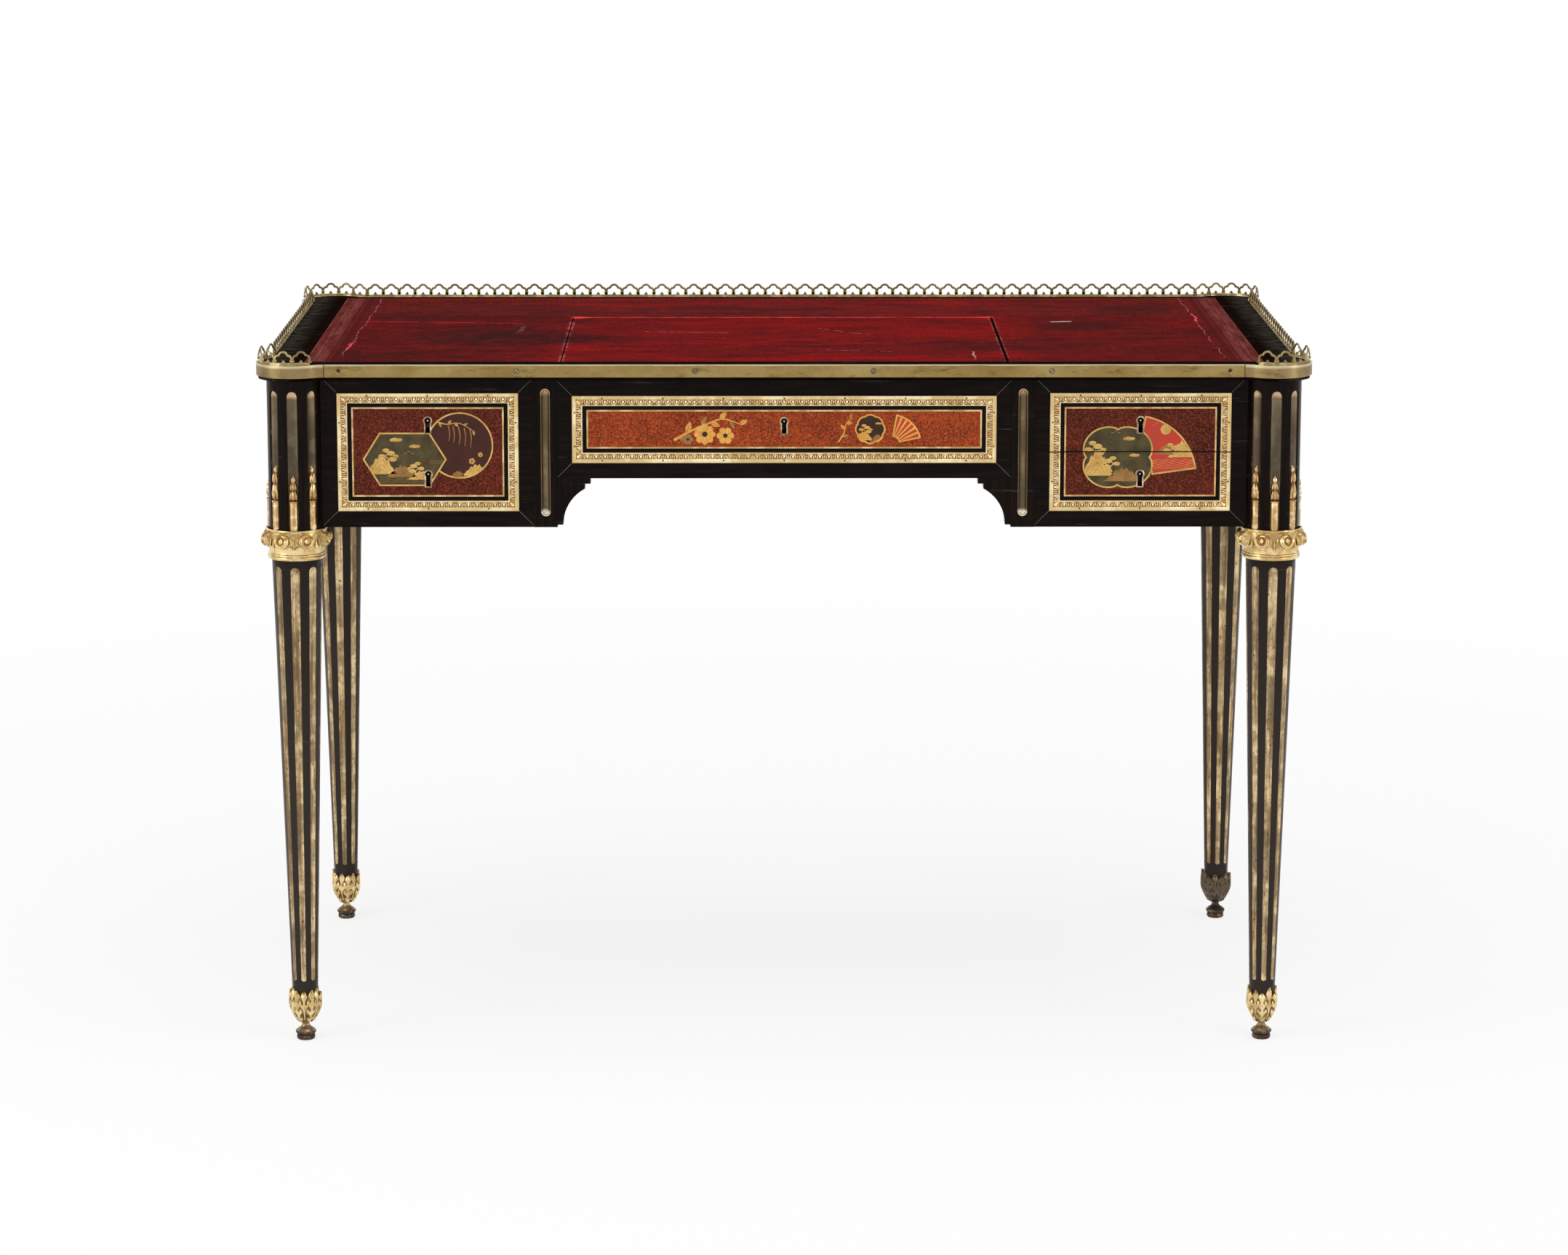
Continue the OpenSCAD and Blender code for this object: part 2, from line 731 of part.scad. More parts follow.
// A pilaster's flute, round at both ends
module pilaster_groove(r) {
    low = frieze_z + pilaster_flute_end + pilaster_flute_r;
    high = board_z - pilaster_flute_end - pilaster_flute_r;
    translate([-half_knee - pilaster_w / 2, -face_y - pilaster_out, low]) {
        cylinder(r = r, h = high - low);
        sphere(r);
        translate([0, 0, high - low]) sphere(r);
    }
}

module pilaster_block() {
    block([-pilaster_x, -face_y - pilaster_out, frieze_z], [-half_knee, -frame_back_y, board_z]);
}

module pilasters() {
    color(EBONY) both_sides() front_and_back() difference() {
        pilaster_block();
        pilaster_groove(pilaster_flute_r);
    }
}

module pilaster_flutes() {
    color(BRASS) both_sides() front_and_back() intersection() {
        pilaster_block();
        difference() {
            pilaster_groove(pilaster_flute_r);
            pilaster_groove(pilaster_flute_r - lining_t);
        }
    }
}

// A bracket in the angle of a pilaster and the centre frame: a hollow curve with a square step
module kneehole_brackets() {
    curve_r = bracket_h - bracket_leg;
    color(EBONY) both_sides() front_and_back()
        translate([-half_knee, -face_y + bracket_t, centre_z]) rotate([90, 0, 0]) linear_extrude(bracket_t)
            difference() {
                translate([0, -bracket_h]) square([bracket_w, bracket_h]);
                translate([bracket_leg + curve_r, -bracket_h]) circle(curve_r);
                translate([bracket_w - bracket_leg, -bracket_h]) square([bracket_leg + 1, bracket_h - bracket_leg]);
            }
}

// Gilt moulding and lacquer of a face, drawn in the XZ plane with its centre at X = 0 and its low edge at Z = 0
function panel_in() = mould_w + strip_w;

module moulding(w, h) {
    difference() {
        block([-w / 2, -mould_out, 0], [w / 2, 0, h]);
        block([-w / 2 + mould_w, -mould_out - 1, mould_w], [w / 2 - mould_w, 1, h - mould_w]);
    }
}

module fillet(w, h) {
    p = panel_in();
    difference() {
        block([-w / 2 + p, -fillet_out, p], [w / 2 - p, 1, h - p]);
        block([-w / 2 + p + fillet_w, -2, p + fillet_w], [w / 2 - p - fillet_w, 2, h - p - fillet_w]);
    }
}

module lacquer(w, h, proud) {
    p = panel_in() + fillet_w;
    block([-w / 2 + p, -proud, p], [w / 2 - p, lacquer_t, h - p]);
}

// The bed in a face for the lacquer and its fillet
module lacquer_bed(w, h) {
    p = panel_in();
    lacquer(w, h, 1);
    block([-w / 2 + p, -1, p], [w / 2 - p, 1, h - p]);
}

// The fixed faces of the back and the sides: each is [x or y, low z, width, height] of its moulding
side_face_w = 2 * (post_y - side_stile);
module on_left() {
    translate([-face_x, 0, side_low]) rotate([0, 0, -90]) children();
}

module on_back(x, low) {
    translate([x, face_y, low]) rotate([0, 0, 180]) children();
}

module side_panel() {
    difference() {
        block([-face_x, -post_y, frieze_z], [-face_x + side_t, post_y, board_z]);
        on_left() lacquer_bed(side_face_w, side_front_h);
    }
}

module side_panels() {
    color(EBONY) both_sides() side_panel();
}

module back_panels() {
    color(EBONY) {
        both_sides() difference() {
            mirror([0, 1, 0]) side_unit_board();
            on_back(-unit_x, side_low) lacquer_bed(side_front_w, side_front_h);
        }
        difference() {
            block([-half_knee, frame_back_y, centre_z], [half_knee, face_y, board_z]);
            on_back(0, centre_low) lacquer_bed(centre_front_w, centre_front_h);
        }
    }
}

module face_trim(w, h) {
    moulding(w, h);
    fillet(w, h);
}

module fixed_mouldings() {
    color(GILT) {
        both_sides() {
            on_left() face_trim(side_face_w, side_front_h);
            on_back(-unit_x, side_low) face_trim(side_front_w, side_front_h);
        }
        on_back(0, centre_low) face_trim(centre_front_w, centre_front_h);
    }
}

module fixed_lacquer() {
    color(LACQUER) {
        both_sides() {
            on_left() lacquer(side_face_w, side_front_h, 0);
            on_back(-unit_x, side_low) lacquer(side_front_w, side_front_h, 0);
        }
        on_back(0, centre_low) lacquer(centre_front_w, centre_front_h, 0);
    }
}

// Inside the case
partition_x = half_knee + (pilaster_w - partition_t) / 2;
side_in = face_x - side_t;

module partition() {
    block([-partition_x - partition_t, -frame_back_y, frieze_z], [-partition_x, frame_back_y, board_z]);
}

module partitions() {
    color(OAK) both_sides() partition();
}

module case_bottoms() {
    color(OAK) both_sides() difference() {
        block([-side_in, -frame_back_y, frieze_z], [-partition_x - partition_t, frame_back_y, frieze_z + case_bottom_t]);
        front_and_back() block([-face_x, -face_y, 0], [-post_x, -post_y, board_z]);
    }
}

// The board between the two right-hand drawers, with a rail that reaches forward behind their fronts
module dust_board() {
    rail_x = side_front_w / 2 + front_gap;
    color(OAK) difference() {
        union() {
            block([partition_x + partition_t, -frame_back_y, dust_z], [side_in, frame_back_y, dust_z + dust_t]);
            block([unit_x - rail_x, lock_y + 0.5, dust_z], [unit_x + rail_x, -frame_back_y, dust_z + dust_t]);
        }
        front_and_back() block([post_x, -face_y, 0], [face_x, -post_y, board_z]);
        mortise(LOWER, dust_z);
    }
}

// A pair of runners for one drawer, each with a guide beside the drawer. outer and inner are the
// faces that they are fixed to, and low is the board that they stand on.
module runner(edge, wall, low, top) {
    lap = edge > wall ? runner_lap : -runner_lap;
    gap = edge > wall ? -slide_gap : slide_gap;
    near = min(wall, edge + lap);
    far = max(wall, edge + lap);
    block([near, -frame_back_y, low], [far, frame_back_y, top - slide_gap]);
    block([min(wall, edge + gap), -frame_back_y, low], [max(wall, edge + gap), frame_back_y, top + guide_h]);
}

module runners(d, left_wall, right_wall, low) {
    half = d[2] / 2 - box_inset;
    runner(d[0] - half, left_wall, low, d[4]);
    runner(d[0] + half, right_wall, low, d[4]);
}

// Guides alone, for the drawer that slides on the dust board
module guides(d, left_wall, right_wall, low) {
    half = d[2] / 2 - box_inset + slide_gap;
    block([left_wall, -frame_back_y, low], [d[0] - half, frame_back_y, low + guide_h]);
    block([d[0] + half, -frame_back_y, low], [right_wall, frame_back_y, low + guide_h]);
}

module drawer_runners() {
    inner = partition_x + partition_t;
    floor_z = frieze_z + case_bottom_t;
    color(OAK) difference() {
        union() {
            runners(LEFT, -side_in, -inner, floor_z);
            runners(LOWER, inner, side_in, floor_z);
            guides(UPPER, inner, side_in, dust_z + dust_t);
            runners(CENTRE, -partition_x, partition_x, centre_z);
        }
        both_sides() front_and_back() block([-face_x, -face_y, 0], [-post_x, -post_y, board_z]);
    }
}

module flap_well() {
    in_x = well_half - well_wall;
    color(OAK) {
        block([-well_half, well_front, well_z - well_floor], [well_half, well_back, well_z - SEAM]);
        both_sides() block([-well_half, well_front, well_z], [-in_x - SEAM, well_back, board_z]);
        block([-in_x, well_front, well_z], [in_x, well_front + well_wall, board_z]);
        block([-in_x, well_back - well_wall, well_z], [in_x, well_back, board_z]);
    }
}

// A keyhole, drawn in the XZ plane about the middle of its rim and grown by a rim
module keyhole(grow) {
    half = keyhole_h / 2 - rim_w;
    r = keyhole_r + grow;
    translate([0, half - keyhole_r]) circle(r);
    translate([-keyhole_slot / 2 - grow, -half - grow]) square([keyhole_slot + 2 * grow, 2 * half - keyhole_r + grow]);
}

module keyhole_cut(x, z, grow, low, high) {
    translate([x, high, z]) rotate([90, 0, 0]) linear_extrude(high - low) keyhole(grow);
}

module escutcheon(x, z) {
    difference() {
        keyhole_cut(x, z, rim_w, -face_y - fillet_out, -face_y + lacquer_t);
        keyhole_cut(x, z, 0, -face_y - 2, -face_y + lacquer_t + 1);
    }
}

// The pin in the round of a keyhole, from just inside its mouth back to the metal or wood that holds it
module key_pin(x, z, back) {
    translate([x, back, z + keyhole_h / 2 - rim_w - keyhole_r]) rotate([90, 0, 0])
        cylinder(r = key_pin_r, h = back + face_y - 1);
}

// The slice of a framed face that one drawer carries
module own_slice(d) {
    intersection() {
        translate([d[0], -face_y, d[6]]) children();
        block([d[0] - d[2], -face_y - 20, d[1]], [d[0] + d[2], -face_y + 20, d[1] + d[3]]);
    }
}

// The front of a drawer: a board with a bed for the lacquer, a keyhole right through, and any blind one
module drawer_front(d, key, blind = []) {
    difference() {
        block([d[0] - d[2] / 2, -face_y, d[1]], [d[0] + d[2] / 2, box_front_y, d[1] + d[3]]);
        translate([d[0], -face_y, d[6]]) lacquer_bed(d[2], d[7]);
        keyhole_cut(d[0], key, 0, -face_y - 1, box_front_y + 1);
        for (z = blind) keyhole_cut(d[0], z, 0, -face_y - 1, -face_y + blind_depth);
    }
}

module drawer_mounts(d, keys, blind = []) {
    own_slice(d) face_trim(d[2], d[7]);
    for (z = keys) escutcheon(d[0], z);
    for (z = blind) key_pin(d[0], z, -face_y + blind_depth);
}

module drawer_lacquer(d, keys) {
    difference() {
        own_slice(d) lacquer(d[2], d[7], 0);
        for (z = keys) keyhole_cut(d[0], z, rim_w, -face_y - 1, -face_y + lacquer_t + 1);
    }
}

// The box behind a front: two sides, with a back and a bottom let in between them
module drawer_box(d) {
    half = d[2] / 2 - box_inset;
    inner = half - box_side_t;
    floor_z = d[4] + 1;
    translate([d[0], 0, 0]) {
        both_sides() block([-half, box_front_y, d[4]], [-inner - SEAM, box_back_y, d[5]]);
        block([-inner, box_back_y - box_side_t, d[4]], [inner, box_back_y, d[5]]);
        block([-inner, box_front_y, floor_z], [inner, box_back_y - box_side_t - SEAM, floor_z + box_bottom_t]);
    }
}

// A lock on the back of a front, with its key's pin and a channel for its bolt
module drawer_lock(d, roof, key) {
    w = bolt_w / 2 + bolt_gap;
    t = bolt_t / 2 + bolt_gap;
    top = roof - 1;
    low = max(top - lock_h, d[4] + 1 + box_bottom_t);
    difference() {
        block([d[0] - lock_w / 2, lock_y, low], [d[0] + lock_w / 2, lock_y + lock_t, top]);
        block([d[0] - w, bolt_y - t, top - bolt_h - bolt_gap], [d[0] + w, bolt_y + t, top + 1]);
        keyhole_cut(d[0], key, 0, lock_y - 1, lock_y + key_depth);
    }
    key_pin(d[0], key, lock_y + key_depth + SEAM);
}

// A bolt, drawn back into its lock and resting on the floor of the channel
module drawer_bolt(d, roof) {
    low = roof - 1 - bolt_h - bolt_gap;
    block([d[0] - bolt_w / 2, bolt_y - bolt_t / 2, low], [d[0] + bolt_w / 2, bolt_y + bolt_t / 2, low + bolt_h]);
}

side_roof = side_top + front_gap;
centre_roof = centre_top + front_gap;

module left_drawer_front() {
    color(EBONY) drawer_front(LEFT, upper_key, [lower_key]);
}

module left_drawer_mounts() {
    color(GILT) drawer_mounts(LEFT, [upper_key, lower_key], [lower_key]);
}

module left_drawer_lacquer() {
    color(LACQUER) drawer_lacquer(LEFT, [upper_key, lower_key]);
}

module left_drawer_box() {
    color(OAK) drawer_box(LEFT);
}

module left_drawer_lock() {
    color(STEEL) drawer_lock(LEFT, side_roof, upper_key);
}

module left_drawer_bolt() {
    color(STEEL) drawer_bolt(LEFT, side_roof);
}

module centre_drawer_front() {
    color(EBONY) drawer_front(CENTRE, centre_key);
}

module centre_drawer_mounts() {
    color(GILT) drawer_mounts(CENTRE, [centre_key]);
}

module centre_drawer_lacquer() {
    color(LACQUER_BRIGHT) drawer_lacquer(CENTRE, [centre_key]);
}

module centre_drawer_box() {
    color(OAK) drawer_box(CENTRE);
}

module centre_drawer_lock() {
    color(STEEL) drawer_lock(CENTRE, centre_roof, centre_key);
}

module centre_drawer_bolt() {
    color(STEEL) drawer_bolt(CENTRE, centre_roof);
}

module upper_drawer_front() {
    color(EBONY) drawer_front(UPPER, upper_key);
}

module upper_drawer_mounts() {
    color(GILT) drawer_mounts(UPPER, [upper_key]);
}

module upper_drawer_lacquer() {
    color(LACQUER) drawer_lacquer(UPPER, [upper_key]);
}

module upper_drawer_box() {
    color(OAK) drawer_box(UPPER);
}

module upper_drawer_lock() {
    color(STEEL) drawer_lock(UPPER, side_roof, upper_key);
}

module upper_drawer_bolt() {
    color(STEEL) drawer_bolt(UPPER, side_roof);
}

module lower_drawer_front() {
    color(EBONY) drawer_front(LOWER, lower_key);
}

module lower_drawer_mounts() {
    color(GILT) drawer_mounts(LOWER, [lower_key]);
}

module lower_drawer_lacquer() {
    color(LACQUER) drawer_lacquer(LOWER, [lower_key]);
}

module lower_drawer_box() {
    color(OAK) drawer_box(LOWER);
}

module lower_drawer_lock() {
    color(STEEL) drawer_lock(LOWER, dust_z, lower_key);
}

module lower_drawer_bolt() {
    color(STEEL) drawer_bolt(LOWER, dust_z);
}

top_board();
flap_board();
flap_leather();
writing_leather();
edge_bands();
edge_band_corners();
edge_screws();
gallery_back();
gallery_left();
gallery_right();
gallery_corners();
leg_front_left();
leg_front_right();
leg_back_left();
leg_back_right();
column_flute_linings();
leg_flute_linings();
flute_husks();
leg_collars();
leaf_shoes();
front_frame_left();
front_frame_centre();
front_frame_right();
pilasters();
pilaster_flutes();
kneehole_brackets();
side_panels();
back_panels();
fixed_mouldings();
fixed_lacquer();
partitions();
case_bottoms();
dust_board();
drawer_runners();
flap_well();
left_drawer_front();
left_drawer_mounts();
left_drawer_lacquer();
left_drawer_box();
left_drawer_lock();
left_drawer_bolt();
centre_drawer_front();
centre_drawer_mounts();
centre_drawer_lacquer();
centre_drawer_box();
centre_drawer_lock();
centre_drawer_bolt();
upper_drawer_front();
upper_drawer_mounts();
upper_drawer_lacquer();
upper_drawer_box();
upper_drawer_lock();
upper_drawer_bolt();
lower_drawer_front();
lower_drawer_mounts();
lower_drawer_lacquer();
lower_drawer_box();
lower_drawer_lock();
lower_drawer_bolt();
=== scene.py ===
# %% [markdown]
# # A lacquered writing desk with gilt mounts
# The desk is already built as a CAD model with moving drawers. This lesson dresses it: it gives every
# carried-over part a finish, and it models the carved metalwork, the leather and the painted lacquer
# that a CAD solid only stands in for. All lengths are in metres, and most are written in millimetres
# times MM, because a cabinet maker measures in millimetres.

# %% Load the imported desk
import math
import random

import bmesh
import bpy
from mathutils import Matrix, Vector
from mathutils.geometry import delaunay_2d_cdt


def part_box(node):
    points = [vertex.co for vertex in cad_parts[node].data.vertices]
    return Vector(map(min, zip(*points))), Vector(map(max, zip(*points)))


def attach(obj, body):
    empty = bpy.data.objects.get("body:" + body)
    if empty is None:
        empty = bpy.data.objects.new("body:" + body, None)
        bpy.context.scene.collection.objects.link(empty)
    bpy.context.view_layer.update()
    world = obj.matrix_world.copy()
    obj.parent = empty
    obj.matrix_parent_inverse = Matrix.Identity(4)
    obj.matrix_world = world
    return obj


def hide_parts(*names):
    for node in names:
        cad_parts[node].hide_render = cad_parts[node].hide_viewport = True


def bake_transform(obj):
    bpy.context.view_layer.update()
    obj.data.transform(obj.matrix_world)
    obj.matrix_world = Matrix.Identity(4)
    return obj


MM = 0.001
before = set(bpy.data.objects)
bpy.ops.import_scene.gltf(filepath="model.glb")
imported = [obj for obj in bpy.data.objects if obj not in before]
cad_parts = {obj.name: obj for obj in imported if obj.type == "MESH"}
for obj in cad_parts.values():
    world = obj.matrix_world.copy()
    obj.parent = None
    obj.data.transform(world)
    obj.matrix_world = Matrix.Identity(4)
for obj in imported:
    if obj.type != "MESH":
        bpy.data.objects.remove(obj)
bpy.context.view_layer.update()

# %% [markdown]
# ## Sizes that the desk repeats
# The mounts have to sit exactly on the CAD parts, so the lesson starts with the numbers they share:
# where the leg axes are, where each drawer face is, and how deep the flutes are.

# %% Shared sizes
LEG_X, LEG_Y = 524 * MM, 250 * MM
TOP_Z = 750 * MM
FACE_X, FACE_Y = 531 * MM, 257 * MM
POST_X, POST_Y = 494.5 * MM, 220.5 * MM
PILASTER_X = 268 * MM
SIDE_X = 381.25 * MM
SIDE_LOW, SIDE_W, SIDE_H = 588.6 * MM, 194 * MM, 128.2 * MM
CENTRE_LOW, CENTRE_W, CENTRE_H = 640.8 * MM, 454 * MM, 73 * MM
END_W = 2 * (POST_Y - (POST_X - SIDE_X - SIDE_W / 2))
SPLIT_Z, SPLIT_GAP = 652.7 * MM, 0.25 * MM
UPPER_KEY, LOWER_KEY, CENTRE_KEY = 681.7 * MM, 623.7 * MM, 680.8 * MM
CREASE_Y = 94 * MM

# %% [markdown]
# ## The camera
# The desk was photographed from a little above, a long way off, with the camera almost straight in
# front. A long lens at that distance keeps the legs parallel. A camera that looks slightly down needs
# hardly any lens shift.

# %% Camera
camera_data = bpy.data.cameras.new("camera")
camera_data.sensor_width = 36
camera_data.lens = 103.37
camera_data.shift_x = 0.01113
camera_data.shift_y = -0.075
camera = bpy.data.objects.new("camera", camera_data)
camera.location = (-0.0322, -5.0118, 1.4441)
camera.rotation_euler = (math.radians(90 - 10.188), 0, -0.0028)
bpy.context.scene.collection.objects.link(camera)
bpy.context.scene.camera = camera
print("camera is", round(camera.location.length, 2), "m from the middle of the floor")

# %% [markdown]
# ## Light and floor
# A sweep of white paper and a few big soft boxes give a product photograph its even look. Three large
# area lamps stand in for the boxes. The world is white where the camera, a mirror-like surface or
# glass looks at it, and only a plain grey where it lights the desk, so the background can be white
# without flooding the wood with light. High overhead the white turns to the grey of a dark ceiling,
# which is what gives polished metal its contrast.

# %% World and lamps
scene = bpy.context.scene
scene.view_settings.view_transform = "Standard"


def new_node(tree, kind, inputs=None, **settings):
    """Adds a node to a tree with its plain settings. inputs fills its sockets by name or number."""
    made = tree.nodes.new(kind)
    for key, value in settings.items():
        setattr(made, key, value)
    for key, value in (inputs or {}).items():
        made.inputs[key].default_value = value
    return made


def join_all(tree, *links):
    """Links pairs of sockets, each from an output to an input."""
    for source, target in links:
        tree.links.new(source, target)


def make_world():
    world = bpy.data.worlds.new("studio")
    scene.world = world
    world.use_nodes = True
    tree = world.node_tree
    tree.nodes.clear()
    rays = new_node(tree, "ShaderNodeLightPath")
    seen = new_node(tree, "ShaderNodeMath", operation="MAXIMUM")
    seen_too = new_node(tree, "ShaderNodeMath", operation="MAXIMUM")
    bright = new_node(tree, "ShaderNodeBackground")
    toward = new_node(tree, "ShaderNodeTexCoord")
    axes = new_node(tree, "ShaderNodeSeparateXYZ")
    white_to_grey = {"From Min": 0.35, "From Max": 0.75, "To Min": 1.0, "To Max": 0.12}
    ceiling = new_node(tree, "ShaderNodeMapRange", white_to_grey, interpolation_type="SMOOTHSTEP")
    plain = new_node(tree, "ShaderNodeBackground", {"Color": (1, 1, 1, 1), "Strength": 0.55})
    mix = new_node(tree, "ShaderNodeMixShader")
    out = new_node(tree, "ShaderNodeOutputWorld")
    join_all(
        tree,
        (toward.outputs["Generated"], axes.inputs[0]),
        (axes.outputs["Z"], ceiling.inputs["Value"]),
        (ceiling.outputs["Result"], bright.inputs["Color"]),
        (rays.outputs["Is Camera Ray"], seen.inputs[0]),
        (rays.outputs["Is Glossy Ray"], seen.inputs[1]),
        (seen.outputs[0], seen_too.inputs[0]),
        (rays.outputs["Is Transmission Ray"], seen_too.inputs[1]),
        (seen_too.outputs[0], mix.inputs[0]),
        (plain.outputs[0], mix.inputs[1]),
        (bright.outputs[0], mix.inputs[2]),
        (mix.outputs[0], out.inputs["Surface"]))


def soft_box(name, place, aim, size, power):
    lamp = bpy.data.lights.new(name, "AREA")
    lamp.shape = "RECTANGLE"
    lamp.size, lamp.size_y = size
    lamp.energy = power
    box = bpy.data.objects.new(name, lamp)
    box.location = place
    box.rotation_euler = (Vector(aim) - Vector(place)).to_track_quat("-Z", "Y").to_euler()
    scene.collection.objects.link(box)


make_world()
MIDDLE = (0, 0, 0.5)
soft_box("overhead_box", (0, -0.6, 3.2), MIDDLE, (3.2, 2.2), 55)
soft_box("left_box", (-3.4, -2.2, 1.7), MIDDLE, (1.6, 2.4), 45)
soft_box("right_box", (3.4, -2.2, 1.6), MIDDLE, (1.2, 2.4), 26)

# %% [markdown]
# ## Node helpers
# Every finish below is a small tree of nodes. These few helpers keep the wiring short: one starts a
# material, one adds noise, one blends two colours, and one maps a value from one range to another.

# %% Material helpers
FINISHES = {}


class Finish:
    """A material under construction, with its Principled shader and object coordinates at hand."""

    def __init__(self, name, **fixed):
        self.material = bpy.data.materials.new(name)
        self.material.use_nodes = True
        self.tree = self.material.node_tree
        self.shader = self.tree.nodes["Principled BSDF"]
        for key, value in fixed.items():
            self.set(key.replace("_", " "), value)
        self.place = new_node(self.tree, "ShaderNodeTexCoord").outputs["Object"]
        FINISHES[name] = self.material

    def set(self, socket, value):
        self.shader.inputs[socket].default_value = value

    def add(self, kind, inputs=None, **settings):
        return new_node(self.tree, kind, inputs, **settings)

    def join(self, source, target):
        self.tree.links.new(source, target)

    def feed(self, source, socket):
        self.join(source, self.shader.inputs[socket])

    def fill(self, socket, value):
        """Puts a number, a colour or another node's output into a socket."""
        if isinstance(value, (int, float)):
            socket.default_value = value
        elif isinstance(value, tuple):
            socket.default_value = (*value, 1)
        else:
            self.join(value, socket)

    def axes(self):
        """The place's X, Y and Z, each by its name."""
        made = self.add("ShaderNodeSeparateXYZ")
        self.join(self.place, made.inputs[0])
        return made.outputs

    def stretched(self, x, y, z):
        """Object coordinates scaled along each axis, for streaks."""
        scale = self.add("ShaderNodeMapping", {"Scale": (x, y, z)})
        self.join(self.place, scale.inputs["Vector"])
        return scale.outputs["Vector"]

    def noise(self, scale, detail=4, rough=0.55, vector=None):
        made = self.add("ShaderNodeTexNoise", {"Scale": scale, "Detail": detail, "Roughness": rough})
        self.join(vector or self.place, made.inputs["Vector"])
        return made.outputs["Fac"]

    def cells(self, scale):
        """Small cells, each with its colour and the distance from its middle."""
        made = self.add("ShaderNodeTexVoronoi", {"Scale": scale}, feature="F1")
        self.join(self.place, made.inputs["Vector"])
        return made.outputs

    def range(self, value, low, high, to_low=0.0, to_high=1.0):
        ends = {"From Min": low, "From Max": high, "To Min": to_low, "To Max": to_high}
        made = self.add("ShaderNodeMapRange", ends)
        self.join(value, made.inputs["Value"])
        return made.outputs["Result"]

    def math(self, operation, first, second):
        made = self.add("ShaderNodeMath", operation=operation)
        self.fill(made.inputs[0], first)
        self.fill(made.inputs[1], second)
        return made.outputs[0]

    def times(self, first, second):
        return self.math("MULTIPLY", first, second)

    def unsigned(self, value):
        return self.math("ABSOLUTE", value, 0)

    def apart(self, first, second):
        """How far two values are from each other."""
        return self.unsigned(self.math("SUBTRACT", first, second))

    def swing(self, value, reach):
        """Turns a mask into a number that swings either side of zero."""
        return self.times(self.math("SUBTRACT", value, 0.5), reach)

    def blend(self, mask, first, second):
        """Goes from one colour to another as the mask goes from 0 to 1."""
        made = self.add("ShaderNodeMix", data_type="RGBA")
        self.fill(made.inputs["Factor"], mask)
        self.fill(made.inputs[6], first)
        self.fill(made.inputs[7], second)
        return made.outputs[2]

    def bump(self, height, strength, distance):
        made = self.add("ShaderNodeBump", {"Strength": strength, "Distance": distance})
        self.join(height, made.inputs["Height"])
        self.feed(made.outputs["Normal"], "Normal")

    def group(self, tree, **values):
        numbers = {key.replace("_", " "): value for key, value in values.items()}
        made = self.add("ShaderNodeGroup", numbers, node_tree=tree)
        self.join(self.place, made.inputs["Place"])
        return made.outputs

    def coats(self, colour, *coats):
        """Lays thin coats of colour over one another, each through its own mask."""
        for mask, tint in coats:
            colour = self.blend(mask, colour, tint)
        return colour


def start_group(name, inputs, outputs):
    """A shader node group with a Place input, number inputs with their usual values, and outputs."""
    tree = bpy.data.node_groups.new(name, "ShaderNodeTree")
    tree.interface.new_socket("Place", in_out="INPUT", socket_type="NodeSocketVector")
    for key, value in inputs.items():
        tree.interface.new_socket(key, in_out="INPUT", socket_type="NodeSocketFloat").default_value = value
    for key in outputs:
        tree.interface.new_socket(key, in_out="OUTPUT", socket_type="NodeSocketFloat")
    return tree, new_node(tree, "NodeGroupInput"), new_node(tree, "NodeGroupOutput")


# %% [markdown]
# ## Two effects that several finishes share
# Old metal isn't one colour: it is rubbed bright in places and stained in others, in soft patches with
# fine specks. The group called tarnish gives both as masks. Old polish has hairline scratches, which
# are long thin streaks of noise. The group called hairlines gives those.

# %% Shared effects
def make_tarnish():
    tree, given, result = start_group("tarnish", {"Patch Size": 30.0, "Amount": 0.5}, ["Patches", "Specks"])
    broad = new_node(tree, "ShaderNodeTexNoise", {"Detail": 5, "Roughness": 0.62})
    fine = new_node(tree, "ShaderNodeTexNoise", {"Scale": 900, "Detail": 2})
    edge = new_node(tree, "ShaderNodeMath", {0: 0.8}, operation="SUBTRACT")
    patches = new_node(tree, "ShaderNodeMapRange", interpolation_type="SMOOTHSTEP")
    top = new_node(tree, "ShaderNodeMath", {1: 0.16}, operation="ADD")
    specks = new_node(tree, "ShaderNodeMapRange", {"From Min": 0.62, "From Max": 0.72})
    join_all(
        tree,
        (given.outputs["Place"], broad.inputs["Vector"]),
        (given.outputs["Place"], fine.inputs["Vector"]),
        (given.outputs["Patch Size"], broad.inputs["Scale"]),
        (given.outputs["Amount"], edge.inputs[1]),
        (edge.outputs[0], patches.inputs["From Min"]),
        (edge.outputs[0], top.inputs[0]),
        (top.outputs[0], patches.inputs["From Max"]),
        (broad.outputs["Fac"], patches.inputs["Value"]),
        (fine.outputs["Fac"], specks.inputs["Value"]),
        (patches.outputs["Result"], result.inputs["Patches"]),
        (specks.outputs["Result"], result.inputs["Specks"]))
    return tree


